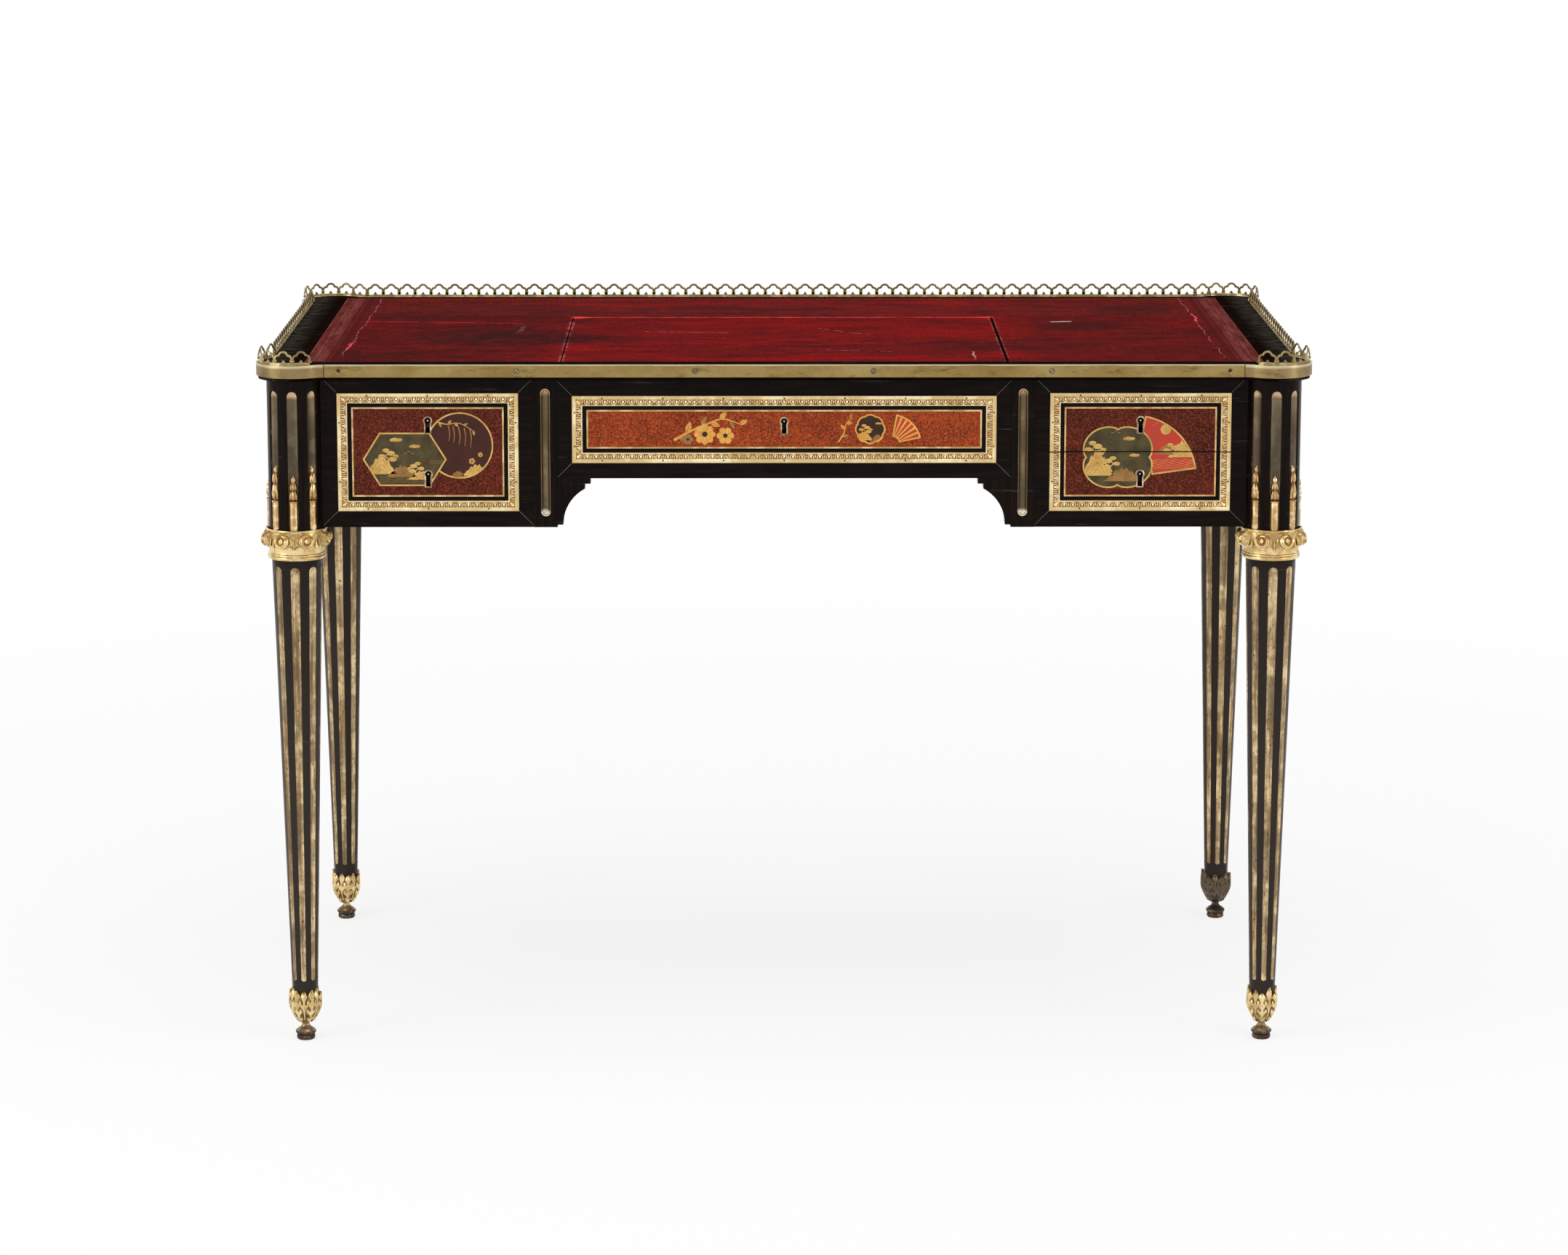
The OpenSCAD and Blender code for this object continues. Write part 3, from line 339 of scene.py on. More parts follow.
def make_hairlines():
    tree, given, result = start_group("hairlines", {"Fineness": 60.0}, ["Lines", "Haze"])
    turn = new_node(tree, "ShaderNodeMapping", {"Rotation": (0.3, 0.5, 0.2), "Scale": (0.12, 1.6, 3.4)})
    lines = new_node(tree, "ShaderNodeTexNoise", {"Detail": 3, "Roughness": 0.7})
    sharp = new_node(tree, "ShaderNodeMapRange", {"From Min": 0.66, "From Max": 0.72})
    haze = new_node(tree, "ShaderNodeTexNoise", {"Scale": 9, "Detail": 4})
    join_all(
        tree,
        (given.outputs["Place"], turn.inputs["Vector"]),
        (turn.outputs["Vector"], lines.inputs["Vector"]),
        (given.outputs["Fineness"], lines.inputs["Scale"]),
        (given.outputs["Place"], haze.inputs["Vector"]),
        (lines.outputs["Fac"], sharp.inputs["Value"]),
        (sharp.outputs["Result"], result.inputs["Lines"]),
        (haze.outputs["Fac"], result.inputs["Haze"]))
    return tree


TARNISH = make_tarnish()
HAIRLINES = make_hairlines()

# %% [markdown]
# ## Ebonised wood
# The case and legs are pearwood stained black and polished. Close up the black is a very dark warm
# brown with a faint grain, hairline scratches and hazy patches in the polish. The flat top has lost
# its gloss, so it gets the same finish with less shine.

# %% Ebonised wood
def make_ebony(name, grain, gloss, paler_below=0.0, reflection_from=0.0):
    """Near-black stained wood. It can be a paler dark grey-brown below a height, as on the legs, or carry
    a painted grey reflection in streaks beyond a distance from the desk's middle, as beside the gallery."""
    f = Finish(name, Specular_IOR_Level=gloss)
    old = f.group(HAIRLINES, Fineness=70.0)
    streaks = f.noise(22, 5, 0.6, f.stretched(*grain))
    wood = f.blend(f.range(streaks, 0.4, 0.7), (0.0036, 0.0019, 0.0013), (0.0110, 0.0055, 0.0036))
    if paler_below:
        # Paler towards the bottom of the legs: a dark grey-brown below a height, strongest lowest down
        height = f.axes()["Z"]
        paler = f.range(height, paler_below - 0.25, paler_below, 1, 0.45)
        on_leg = f.times(paler, f.range(height, paler_below, paler_below + 0.005, 1, 0))
        wood = f.blend(on_leg, wood, (0.036, 0.028, 0.023))
    if reflection_from:
        # A painted grey reflection in streaks, towards the top's outer edge beside the gallery
        outer = f.range(f.unsigned(f.axes()["X"]), reflection_from, reflection_from + 0.018)
        mottle = f.range(f.noise(60, 6, 0.75, f.stretched(0.8, 1.4, 1)), 0.40, 0.62, 0.05, 0.8)
        wood = f.blend(f.times(mottle, outer), wood, (0.050, 0.046, 0.037))
    f.feed(f.blend(f.range(old["Lines"], 0, 1, 0, 0.6), wood, (0.07, 0.058, 0.050)), "Base Color")
    f.feed(f.range(old["Haze"], 0.35, 0.7, 0.13, 0.32), "Roughness")
    f.bump(streaks, 0.05, 0.0004)
    return f.material


EBONY = make_ebony("ebonised_wood", (1, 1, 9), 0.06)
EBONY_UPRIGHT = make_ebony("ebonised_wood_upright", (9, 9, 0.8), 0.06)
EBONY_LEG = make_ebony("ebonised_wood_leg", (9, 9, 0.8), 0.065, 0.55)
EBONY_TOP = make_ebony("ebonised_wood_top", (1, 9, 9), 0.0, reflection_from=0.522)

# %% [markdown]
# ## Gilt bronze and brass
# The mounts are cast bronze, gilded with fire gold that has a soft matt lemon colour and is darker in
# its hollows. The band, gallery and flutes are plain brass that has gone green-brown. Both are the
# same metal shader with different colours and different amounts of tarnish.

# %% Metals
# The brown of the small old stains
STAIN = (0.05, 0.03, 0.015)


def make_metal(name, bright, dull, patch, amount, rough, specks=0.5):
    f = Finish(name, Metallic=1.0)
    old = f.group(TARNISH, Patch_Size=patch, Amount=amount)
    surface_colour = f.blend(old["Patches"], bright, dull)
    f.feed(f.blend(f.range(old["Specks"], 0, 1, 0, specks), surface_colour, STAIN), "Base Color")
    f.feed(f.range(old["Patches"], 0, 1, rough, rough + 0.16), "Roughness")
    f.bump(f.noise(260, 3), 0.12, 0.0003)
    return f.material


GILT = make_metal("gilt_bronze", (0.88, 0.69, 0.36), (0.60, 0.42, 0.17), 70, 0.38, 0.24, specks=0.4)
GILT_HUSK = make_metal("gilt_husk", (0.90, 0.69, 0.40), (0.52, 0.32, 0.135), 120, 0.44, 0.2, specks=0.5)
GILT_HOLLOW = make_metal("gilt_hollow", (0.50, 0.34, 0.145), (0.25, 0.145, 0.055), 120, 0.42, 0.42)
MOULD_HOLLOW = make_metal("mould_hollow", (0.82, 0.60, 0.30), (0.50, 0.30, 0.11), 150, 0.46, 0.40)
MOULD_SHADE = make_metal("mould_shade", (0.26, 0.130, 0.046), (0.11, 0.055, 0.022), 200, 0.45, 0.5)
MOULD_STRIP = make_metal("mould_strip", (0.92, 0.77, 0.47), (0.70, 0.52, 0.25), 30, 0.42, 0.30)
CUP_GILT = make_metal("cup_gilt", (0.74, 0.55, 0.27), (0.46, 0.30, 0.12), 120, 0.42, 0.34)
SHOE_SHADE = make_metal("shoe_painted_shade", (0.40, 0.25, 0.10), (0.17, 0.095, 0.038), 120, 0.42, 0.46)
FOOT_BRASS = make_metal("foot_brass", (0.60, 0.45, 0.25), (0.30, 0.21, 0.115), 90, 0.45, 0.30)
# The rail's brass is lighter than the loops' as a painted highlight
RAIL_HIGHLIGHT_BRASS = make_metal("rail_highlight_brass", (0.62, 0.49, 0.26), (0.36, 0.26, 0.11), 60, 0.42, 0.30)
GILT_PALE = make_metal("gilt_moulding", (0.98, 0.84, 0.55), (0.80, 0.62, 0.33), 60, 0.34, 0.34, specks=0.3)
BRASS = make_metal("aged_brass", (0.40, 0.31, 0.15), (0.235, 0.165, 0.062), 22, 0.40, 0.32)
RIM_BRASS = make_metal("rim_brass", (0.80, 0.62, 0.42), (0.40, 0.25, 0.14), 160, 0.42, 0.34)
# The dark edges of the flute linings are painted shade from the flutes' walls
FLUTE_EDGE_SHADE = make_metal("flute_edge", (0.085, 0.055, 0.03), (0.03, 0.02, 0.012), 60, 0.5, 0.5)
LEG_EDGE_SHADE = make_metal("leg_flute_edge", (0.34, 0.175, 0.070), (0.13, 0.065, 0.030), 60, 0.5, 0.45)
PIN_STEEL = make_metal("pin_steel", (0.62, 0.61, 0.58), (0.4, 0.38, 0.34), 90, 0.4, 0.3)
FILLET_GOLD = make_metal("fillet_gold", (0.76, 0.47, 0.20), (0.55, 0.30, 0.11), 90, 0.36, 0.34)
FILLET_PALE = make_metal("fillet_pale", (0.84, 0.60, 0.30), (0.52, 0.34, 0.13), 50, 0.42, 0.36)
BROWN_BRONZE = make_metal("brown_bronze", (0.24, 0.18, 0.11), (0.13, 0.095, 0.060), 90, 0.45, 0.36)
DARK_BRONZE = make_metal("dark_bronze", (0.19, 0.140, 0.095), (0.07, 0.050, 0.036), 150, 0.46, 0.40)
STEEL = make_metal("lock_steel", (0.14, 0.13, 0.12), (0.07, 0.06, 0.05), 60, 0.45, 0.45)


def make_band_brass(name, bright, dull, lip):
    """The band's brass: cloudy from end to end and streaked, with a painted highlight along its upper edge.
    """
    f = Finish(name, Metallic=1.0)
    old = f.group(TARNISH, Patch_Size=9.0, Amount=0.36)
    axes = f.axes()
    clouds = f.blend(f.range(f.noise(13, 5, 0.7), 0.38, 0.64), bright, dull)
    streaks = f.noise(150, 5, 0.75, f.stretched(0.22, 0.22, 1))
    lined = f.blend(f.range(streaks, 0.55, 0.70, 0, 0.8), clouds, (0.13, 0.080, 0.030))
    surface_colour = f.blend(f.range(old["Specks"], 0, 1, 0, 0.55), lined, STAIN)
    # A painted highlight along the upper edge, ragged below; lip sets how far down it reaches
    ragged = f.math("ADD", axes["Z"], f.swing(streaks, 0.003))
    brightened = f.range(ragged, TOP_Z - lip * 1.5, TOP_Z - lip * 0.6, 0, 0.85)
    surface_colour = f.blend(brightened, surface_colour, (0.66, 0.56, 0.36))
    for axis, end in (("X", EAR_END_X), ("Y", EAR_END_Y)):
        from_joint = f.apart(f.unsigned(axes[axis]), end)
        surface_colour = f.blend(f.range(from_joint, 0.0003, 0.0008, 0.85, 0), surface_colour, (0.03, 0.02, 0.01))
    f.feed(surface_colour, "Base Color")
    f.feed(f.range(streaks, 0.4, 0.7, 0.30, 0.46), "Roughness")
    f.bump(f.noise(260, 3), 0.12, 0.0003)
    return f.material


# Where each ear's length of band meets the straight ones, from the leg's axis and from the middle
EAR_REACH = 34.63 * MM
EAR_END_X, EAR_END_Y = LEG_X - EAR_REACH, LEG_Y - EAR_REACH
BAND_BRASS = make_band_brass("band_brass", (0.39, 0.285, 0.108), (0.28, 0.185, 0.058), 0.9 * MM)
CORNER_BRASS = make_band_brass("corner_brass", (0.35, 0.255, 0.12), (0.21, 0.14, 0.058), 2.4 * MM)


def make_flute_brass(name, bright, dull, bright_low, bright_high, middle=0.0, half=0.0):
    """Dull brass in a tall flute, with a painted highlight, warm and bright, where the hollow turns up at
    its ends, and painted shade towards the sides when half is given.
    """
    f = Finish(name, Metallic=1.0)
    old = f.group(TARNISH, Patch_Size=26.0, Amount=0.42)
    axes = f.axes()
    z = f.math("ADD", axes["Z"], f.swing(f.noise(60, 3), 0.008))
    base = f.blend(f.range(old["Patches"], 0, 1, 0, 0.7), bright, dull)
    # Painted highlight: lighter towards the top end, warm in its round end, pale at the low end
    base = f.blend(f.range(z, bright_high - 0.045, bright_high - 0.010, 0, 0.35), base, (0.26, 0.19, 0.10))
    warm_highlight = f.blend(f.range(z, bright_high - 0.0085, bright_high - 0.0035), base, (0.62, 0.44, 0.26))
    both = f.blend(f.range(z, bright_low + 0.004, bright_low + 0.0075, 1, 0), warm_highlight, (0.85, 0.76, 0.62))
    # Painted shade towards the sides, away from the pilaster's middle
    if half:
        off = f.apart(f.unsigned(axes["X"]), middle)
        both = f.blend(f.range(off, half * 0.62, half * 0.9, 0, 0.9), both, (0.05, 0.035, 0.02))
    f.feed(f.blend(f.range(old["Specks"], 0, 1, 0, 0.5), both, (0.04, 0.03, 0.02)), "Base Color")
    f.feed(f.range(old["Patches"], 0, 1, 0.34, 0.5), "Roughness")
    f.bump(f.noise(260, 3), 0.12, 0.0003)
    return f.material


# The column's rods hide the lower ends of its flutes, so only the pilasters show both ends
flute_low, flute_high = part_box("pilaster_flutes")
COLUMN_FLUTE_BRASS = make_flute_brass("column_flute_brass", (0.150, 0.119, 0.080), (0.072, 0.054, 0.034),
                                      0.5, 0.721)
PILASTER_FLUTE_BRASS = make_flute_brass("pilaster_flute_brass", (0.215, 0.160, 0.095), (0.110, 0.078, 0.045),
                                        flute_low[2], flute_high[2], PILASTER_X, flute_high[0] - PILASTER_X)


def make_leg_brass():
    """The legs' flutes are streaked from top to bottom with brown."""
    f = Finish("leg_flute_brass", Metallic=1.0)
    old = f.group(TARNISH, Patch_Size=45.0, Amount=0.4)
    streaks = f.noise(240, 4, 0.65, f.stretched(1, 1, 0.045))
    base = f.blend(f.range(streaks, 0.44, 0.60), (0.80, 0.61, 0.34), (0.34, 0.205, 0.095))
    spots = f.noise(420, 3, 0.6, f.stretched(1, 1, 0.5))
    dulled = f.noise(34, 5, 0.72, f.stretched(1, 1, 0.3))
    base = f.blend(f.range(dulled, 0.50, 0.60, 0, 0.78), base, (0.175, 0.130, 0.080))
    spotted = f.blend(f.range(spots, 0.60, 0.68, 0, 0.85), base, (0.05, 0.025, 0.012))
    patchy = f.blend(f.range(old["Patches"], 0, 1, 0, 0.6), spotted, (0.16, 0.115, 0.062))
    f.feed(patchy, "Base Color")
    f.feed(f.range(streaks, 0.4, 0.65, 0.3, 0.5), "Roughness")
    f.bump(streaks, 0.15, 0.0003)
    return f.material


LEG_BRASS = make_leg_brass()


def make_dark(name, colour, rough=0.7):
    f = Finish(name)
    f.feed(f.blend(f.noise(200), colour, tuple(c * 1.8 for c in colour)), "Base Color")
    f.feed(f.range(f.noise(90), 0.3, 0.7, rough - 0.1, rough + 0.1), "Roughness")
    return f.material


HOLE = make_dark("hole", (0.006, 0.004, 0.003))
MITRE = make_dark("mitre_line", (0.16, 0.13, 0.115), 0.5)

# %% [markdown]
# ## Oak inside
# The drawer boxes, runners and partitions are plain oak that has browned with age. Oak has long dark
# pores along the grain, which here is noise stretched along the length of the boards.

# %% Oak
def make_oak():
    f = Finish("oak", Specular_IOR_Level=0.3)
    along = f.stretched(1, 0.06, 1)
    figure = f.noise(26, 5, 0.6, along)
    pores = f.noise(420, 2, 0.5, along)
    wood = f.blend(f.range(figure, 0.3, 0.7), (0.33, 0.205, 0.10), (0.22, 0.125, 0.056))
    f.feed(f.blend(f.range(pores, 0.58, 0.7, 0, 0.7), wood, (0.09, 0.048, 0.02)), "Base Color")
    f.feed(f.range(figure, 0.3, 0.7, 0.55, 0.7), "Roughness")
    f.bump(pores, 0.3, 0.0004)
    return f.material


OAK = make_oak()

# %% [markdown]
# ## Leather
# The writing surface is crimson goatskin with a close pebbled grain. It is darker where hands and
# papers have soiled it, in smudges that run from side to side, and bright red where it has been rubbed.
# Tooled lines run round its border: a thin pair at the front and back, and a wide band at each short
# side. A line is drawn where the distance to an edge of the skin passes through a narrow range. Old
# scratches and worn folds are short straight marks, each with its two ends, width and colour.

# %% Leather
LEATHER_X, LEATHER_FRONT, LEATHER_BACK = 512 * MM, -256 * MM, 264 * MM
FLAP_X = 238.5 * MM
SIDE_LINES = (3, 6, 12, 23, 29, 32)
END_LINES = (4, 8)
# Dark worn patches on the side fields: middle, half-widths and strength
LEATHER_STAINS = [(-0.315, -0.065, 0.105, 0.075, 0.85), (0.335, 0.025, 0.055, 0.040, 0.7),
                  (0.41, 0.16, 0.06, 0.05, 0.55), (-0.42, 0.10, 0.07, 0.06, 0.5)]
SIDE_BAND = 33
LEATHER_MARKS = [
    ((-0.472, 0.060), (-0.292, 0.046), 0.0015, (0.70, 0.02, 0.05), 0.46),
    ((0.303, 0.058), (0.329, 0.060), 0.0020, (0.90, 0.82, 0.72), 0.38),
    ((-0.469, 0.262), (-0.476, -0.215), 0.0008, (0.33, 0.095, 0.095), 0.48),
    ((0.468, 0.262), (0.473, -0.223), 0.0008, (0.33, 0.095, 0.095), 0.48),
    ((0.470, 0.125), (0.472, 0.060), 0.0013, (0.80, 0.06, 0.08), 0.42),
    ((-0.471, -0.100), (-0.475, -0.165), 0.0012, (0.75, 0.08, 0.10), 0.44),
    ((-0.291, 0.020), (-0.295, -0.040), 0.0040, (0.095, 0.050, 0.050), 0.47),
    ((0.02, -0.13), (0.16, -0.10), 0.0007, (0.30, 0.04, 0.05), 0.50),
    ((-0.155, -0.022), (-0.060, -0.034), 0.0022, (0.30, 0.070, 0.070), 0.52),
    ((0.040, 0.004), (0.094, -0.050), 0.0016, (0.34, 0.090, 0.085), 0.50),
    ((0.044, -0.166), (0.118, -0.182), 0.0016, (0.32, 0.090, 0.085), 0.50),
    ((0.203, -0.172), (0.206, -0.246), 0.0016, (0.40, 0.190, 0.180), 0.48),
    ((-0.006, 0.0935), (0.014, 0.0935), 0.0018, (0.85, 0.080, 0.070), 0.30),
]


def leather_mark(f, x, y, start, end, width, broken):
    """A mask for one wavering mark that is broken into pieces."""
    along = Vector(end) - Vector(start)
    length = along.length
    along.normalize()
    from_x, from_y = f.math("SUBTRACT", x, start[0]), f.math("SUBTRACT", y, start[1])
    run = f.math("ADD", f.times(from_x, along.x), f.times(from_y, along.y))
    off = f.math("SUBTRACT", f.times(from_x, along.y), f.times(from_y, along.x))
    off = f.unsigned(f.math("ADD", off, f.swing(f.noise(24, 3), 0.012)))
    beside = f.range(off, width * 0.4, width, 1, 0)
    within = f.range(f.apart(run, length / 2), length / 2 - 0.002, length / 2, 1, 0)
    return f.times(f.times(beside, within), f.range(f.noise(110, 3), broken - 0.06, broken + 0.04))


# Half the width of a pressed line, and how far it fades beyond that, in millimetres
LINE_HALF, LINE_FADE = 0.35, 0.5


def leather_tooling(f, y, from_side, from_end):
    """A mask for the pressed lines, and for the small lozenges stamped in the wide band at each side."""
    def line(distance, at):
        return f.range(f.apart(distance, at * MM), LINE_HALF * MM, (LINE_HALF + LINE_FADE) * MM, 1, 0)

    inside_end = f.range(from_end, END_LINES[0] * MM, (END_LINES[0] + 0.6) * MM)
    lines = [f.times(line(from_side, at), inside_end) for at in SIDE_LINES]
    lines += [line(from_end, at) for at in END_LINES]
    rows = f.unsigned(f.math("SINE", f.times(y, 520), 0))
    columns = f.unsigned(f.math("SINE", f.times(from_side, 420), 0))
    lozenges = f.range(f.math("ADD", rows, columns), 0.45, 0.7, 1, 0)
    in_band = f.times(f.range(from_side, 0.0125, 0.0130), f.range(from_side, 0.0225, 0.0230, 1, 0))
    tooling = f.times(f.times(lozenges, in_band), 0.7)
    for pressed in lines:
        tooling = f.math("MAXIMUM", tooling, pressed)
    return tooling


def leather_stain(f, x, y, smears, middle_x, middle_y, half_x, half_y, strength):
    """A mask for one dark patch with ragged edges."""
    off_x = f.times(f.math("SUBTRACT", x, middle_x), 1 / half_x)
    off_y = f.times(f.math("SUBTRACT", y, middle_y), 1 / half_y)
    away = f.math("ADD", f.times(off_x, off_x), f.times(off_y, off_y))
    return f.range(f.math("ADD", away, f.swing(smears, 3.0)), 0.1, 1.2, strength, 0)


def make_leather():
    f = Finish("crimson_leather", Specular_IOR_Level=0.0)
    axes = f.axes()
    x, y = axes["X"], axes["Y"]
    across = f.unsigned(x)
    from_side = f.math("SUBTRACT", LEATHER_X, across)
    from_end = f.math("MINIMUM", f.math("SUBTRACT", y, LEATHER_FRONT), f.math("SUBTRACT", LEATHER_BACK, y))
    from_crease, from_slit = f.apart(y, CREASE_Y), f.apart(across, FLAP_X)
    tooling = leather_tooling(f, y, from_side, from_end)
    pebbles = f.cells(520)["Distance"]
    fine = f.noise(70, 5, 0.6)
    soil = f.noise(7, 6, 0.62, f.stretched(0.45, 1.5, 1))
    brightened = f.noise(3.2, 3, 0.5, f.stretched(0.7, 1.2, 1))
    smears = f.noise(30, 7, 0.72, f.stretched(0.4, 1.5, 1))
    worn_side = f.range(f.noise(26, 6, 0.7, f.stretched(6, 0.7, 1)), 0.40, 0.62, 0.1, 0.75)

    # Crimson and its soiling: beside the flap, behind the crease and in smears from side to side
    colour = f.coats(
        (0.25, 0.009, 0.008),
        (f.range(soil, 0.36, 0.60), (0.055, 0.011, 0.011)),
        (f.range(brightened, 0.50, 0.68, 0, 0.7), (0.34, 0.010, 0.008)),
        (f.range(across, FLAP_X, FLAP_X + 0.05, 0, 0.62), (0.062, 0.011, 0.010)),
        (f.range(y, CREASE_Y, CREASE_Y + 0.03, 0, 0.4), (0.15, 0.022, 0.017)),
        (f.range(smears, 0.46, 0.62, 0, 0.6), (0.035, 0.009, 0.010)),
        (f.range(smears, 0.30, 0.44, 0.45, 0), (0.30, 0.014, 0.018)))
    for stain in LEATHER_STAINS:
        colour = f.blend(leather_stain(f, x, y, smears, *stain), colour, (0.024, 0.012, 0.012))
    # Pebbles with fine painted highlights, the dark and the faded part of each side band, and the rim
    colour = f.coats(
        colour,
        (f.range(fine, 0.50, 0.75, 0, 0.4), (0.30, 0.014, 0.015)),
        (f.range(pebbles, 0.35, 0.7, 0, 0.5), (0.030, 0.004, 0.005)),
        (f.range(f.noise(900, 2), 0.60, 0.72, 0, 0.55), (0.42, 0.05, 0.05)),
        (f.range(from_side, SIDE_BAND * MM, (SIDE_BAND + 4) * MM, 0.55, 0), (0.085, 0.014, 0.013)),
        (f.times(worn_side, f.range(from_side, 0.014, 0.027, 1, 0)), (0.21, 0.058, 0.050)),
        (f.range(from_end, 0.0, 0.004, 0.5, 0), (0.20, 0.03, 0.035)))
    # Wear on the flap: bright at the crease's two ends and along it
    from_corner = f.math("ADD", f.times(from_crease, 1.9), f.times(from_slit, 0.55))
    from_corner = f.math("ADD", from_corner, f.swing(fine, 0.03))
    near_corner = f.range(from_corner, 0.008, 0.018, 0.95, 0)
    near_crease = f.range(from_crease, 0.0012, 0.0045, 0.85, 0)
    corner = f.times(near_corner, f.range(across, FLAP_X, FLAP_X + 0.002, 1, 0))
    crease = f.times(near_crease, f.range(across, FLAP_X, FLAP_X + 0.004, 1, 0))
    # The cut edges beside the flap are dark, with scuffed skin along them
    before_crease = f.range(y, CREASE_Y - 0.002, CREASE_Y, 1, 0)
    scuffed = f.times(f.range(from_slit, 0.0018, 0.0040, 0.55, 0), f.range(fine, 0.44, 0.6))
    past_slit = f.math("SUBTRACT", from_slit, f.range(x, -0.01, 0.01, 0.0005, 0.0014))
    colour = f.coats(
        colour,
        (corner, (0.88, 0.060, 0.045)),
        (f.times(crease, f.range(fine, 0.38, 0.54, 0.3, 1)), (0.62, 0.045, 0.040)),
        (f.times(scuffed, before_crease), (0.42, 0.12, 0.12)),
        (f.times(f.range(past_slit, 0, 0.0005, 1, 0), before_crease), (0.012, 0.003, 0.003)))
    for start, end, width, tint, broken in LEATHER_MARKS:
        colour = f.blend(leather_mark(f, x, y, start, end, width, broken), colour, tint)
    f.feed(f.blend(f.times(tooling, 0.6), colour, (0.022, 0.006, 0.005)), "Base Color")
    f.feed(f.range(soil, 0.35, 0.7, 0.42, 0.56), "Roughness")
    f.bump(f.math("SUBTRACT", f.times(pebbles, -0.35), f.times(tooling, 0.8)), 0.35, 0.0004)
    return f.material


LEATHER = make_leather()

# %% [markdown]
# ## Lacquer
# The drawer panels are lacquer with crushed red flakes under a clear glossy coat, very dark on the side
# drawers and orange-red on the middle one. Painted on it in gold are framed pictures on grounds of
# olive, brown and vermilion. A flake is a cell of a Voronoi texture whose random colour is high. The
# face shared by the two right-hand drawers has a painted shadow line along the cut between them.

# %% Lacquer
def make_flaked(name, base, flake, deep, dark, cut=None):
    f = Finish(name, Coat_Weight=0.07, Coat_Roughness=0.06, Specular_IOR_Level=0.08)
    shade = f.add("ShaderNodeSeparateColor")
    f.join(f.cells(950)["Color"], shade.inputs[0])
    clouds = f.noise(26, 4, 0.6)
    ground = f.blend(f.range(clouds, 0.35, 0.65), base, deep)
    flakes = f.blend(f.range(shade.outputs[0], 0.5, 0.95, 0, 0.9), ground, flake)
    colour = f.blend(f.range(shade.outputs[1], 0.78, 0.9, 0, 0.8), flakes, dark)
    if cut is not None:
        # A painted shadow line along the cut between the two drawers
        from_cut = f.apart(f.axes()["Z"], cut)
        colour = f.blend(f.range(from_cut, 0.0006, 0.0010, 1, 0), colour, (0.005, 0.003, 0.002))
    f.feed(colour, "Base Color")
    f.feed(f.range(clouds, 0.3, 0.7, 0.3, 0.45), "Roughness")
    f.bump(clouds, 0.04, 0.0004)
    return f.material


def make_painted(name, base, other, rough=0.35, metal=0.0):
    f = Finish(name, Coat_Weight=0.1, Coat_Roughness=0.08, Specular_IOR_Level=0.15, Metallic=metal)
    clouds = f.noise(70, 5, 0.62)
    mottle = f.noise(1500, 1)
    colour = f.blend(f.range(clouds, 0.38, 0.66), base, other)
    f.feed(f.blend(f.range(mottle, 0.55, 0.75, 0, 0.5), colour, other), "Base Color")
    f.feed(f.range(clouds, 0.3, 0.7, rough - 0.05, rough + 0.1), "Roughness")
    f.bump(clouds, 0.05, 0.0003)
    return f.material


DARK_FLAKES = [(0.095, 0.0135, 0.0050), (0.27, 0.042, 0.016), (0.044, 0.0075, 0.0032), (0.010, 0.004, 0.003)]
LACQUER_DARK = make_flaked("dark_lacquer", *DARK_FLAKES)
LACQUER_CUT_SHADOW = make_flaked("cut_shadow_lacquer", *DARK_FLAKES, cut=SPLIT_Z)
LACQUER_BRIGHT = make_flaked("bright_lacquer", (0.36, 0.050, 0.011), (0.54, 0.105, 0.026),
                             (0.21, 0.027, 0.007), (0.045, 0.012, 0.006))
OLIVE = make_painted("olive_ground", (0.046, 0.033, 0.012), (0.100, 0.074, 0.028))
BROWN = make_painted("brown_ground", (0.044, 0.011, 0.007), (0.066, 0.016, 0.010))
VERMILION = make_painted("vermilion_ground", (0.56, 0.045, 0.022), (0.46, 0.060, 0.034))
GOLD_PAINT = make_painted("gold_paint", (0.74, 0.47, 0.14), (0.50, 0.28, 0.07), 0.38, 0.25)
AMBER_PAINT = make_painted("amber_gold_paint", (0.86, 0.46, 0.10), (0.66, 0.27, 0.045), 0.38, 0.2)
OLD_GOLD = make_painted("old_gold_paint", (0.38, 0.19, 0.055), (0.24, 0.12, 0.036), 0.42, 0.2)
DARK_PAINT = make_painted("dark_paint", (0.030, 0.013, 0.007), (0.050, 0.024, 0.012))
print(len(FINISHES), "finishes")

# %% [markdown]
# ## Finishes for the carried-over parts
# A CAD node keeps its shape and gets its finish by its name. Nodes that a finer piece stands for later
# get one too, because they are still there, hidden.

# %% Finish the CAD nodes
NODE_FINISH = {
    "top_board": EBONY_TOP, "flap_board": EBONY_TOP, "edge_bands": BAND_BRASS,
    "edge_band_corners": CORNER_BRASS,
    "edge_screws": BRASS, "gallery_back": BRASS, "gallery_left": BRASS, "gallery_right": BRASS,
    "gallery_corners": BRASS, "column_flute_linings": COLUMN_FLUTE_BRASS, "leg_flute_linings": LEG_BRASS,
    "pilaster_flutes": PILASTER_FLUTE_BRASS, "flute_husks": GILT, "leg_collars": GILT, "leaf_shoes": GILT,
    "flap_leather": LEATHER, "writing_leather": LEATHER, "fixed_mouldings": GILT_PALE,
    "fixed_lacquer": LACQUER_DARK, "pilasters": EBONY_UPRIGHT, "kneehole_brackets": EBONY_UPRIGHT,
    "partitions": OAK, "case_bottoms": OAK, "dust_board": OAK, "drawer_runners": OAK, "flap_well": OAK,
}


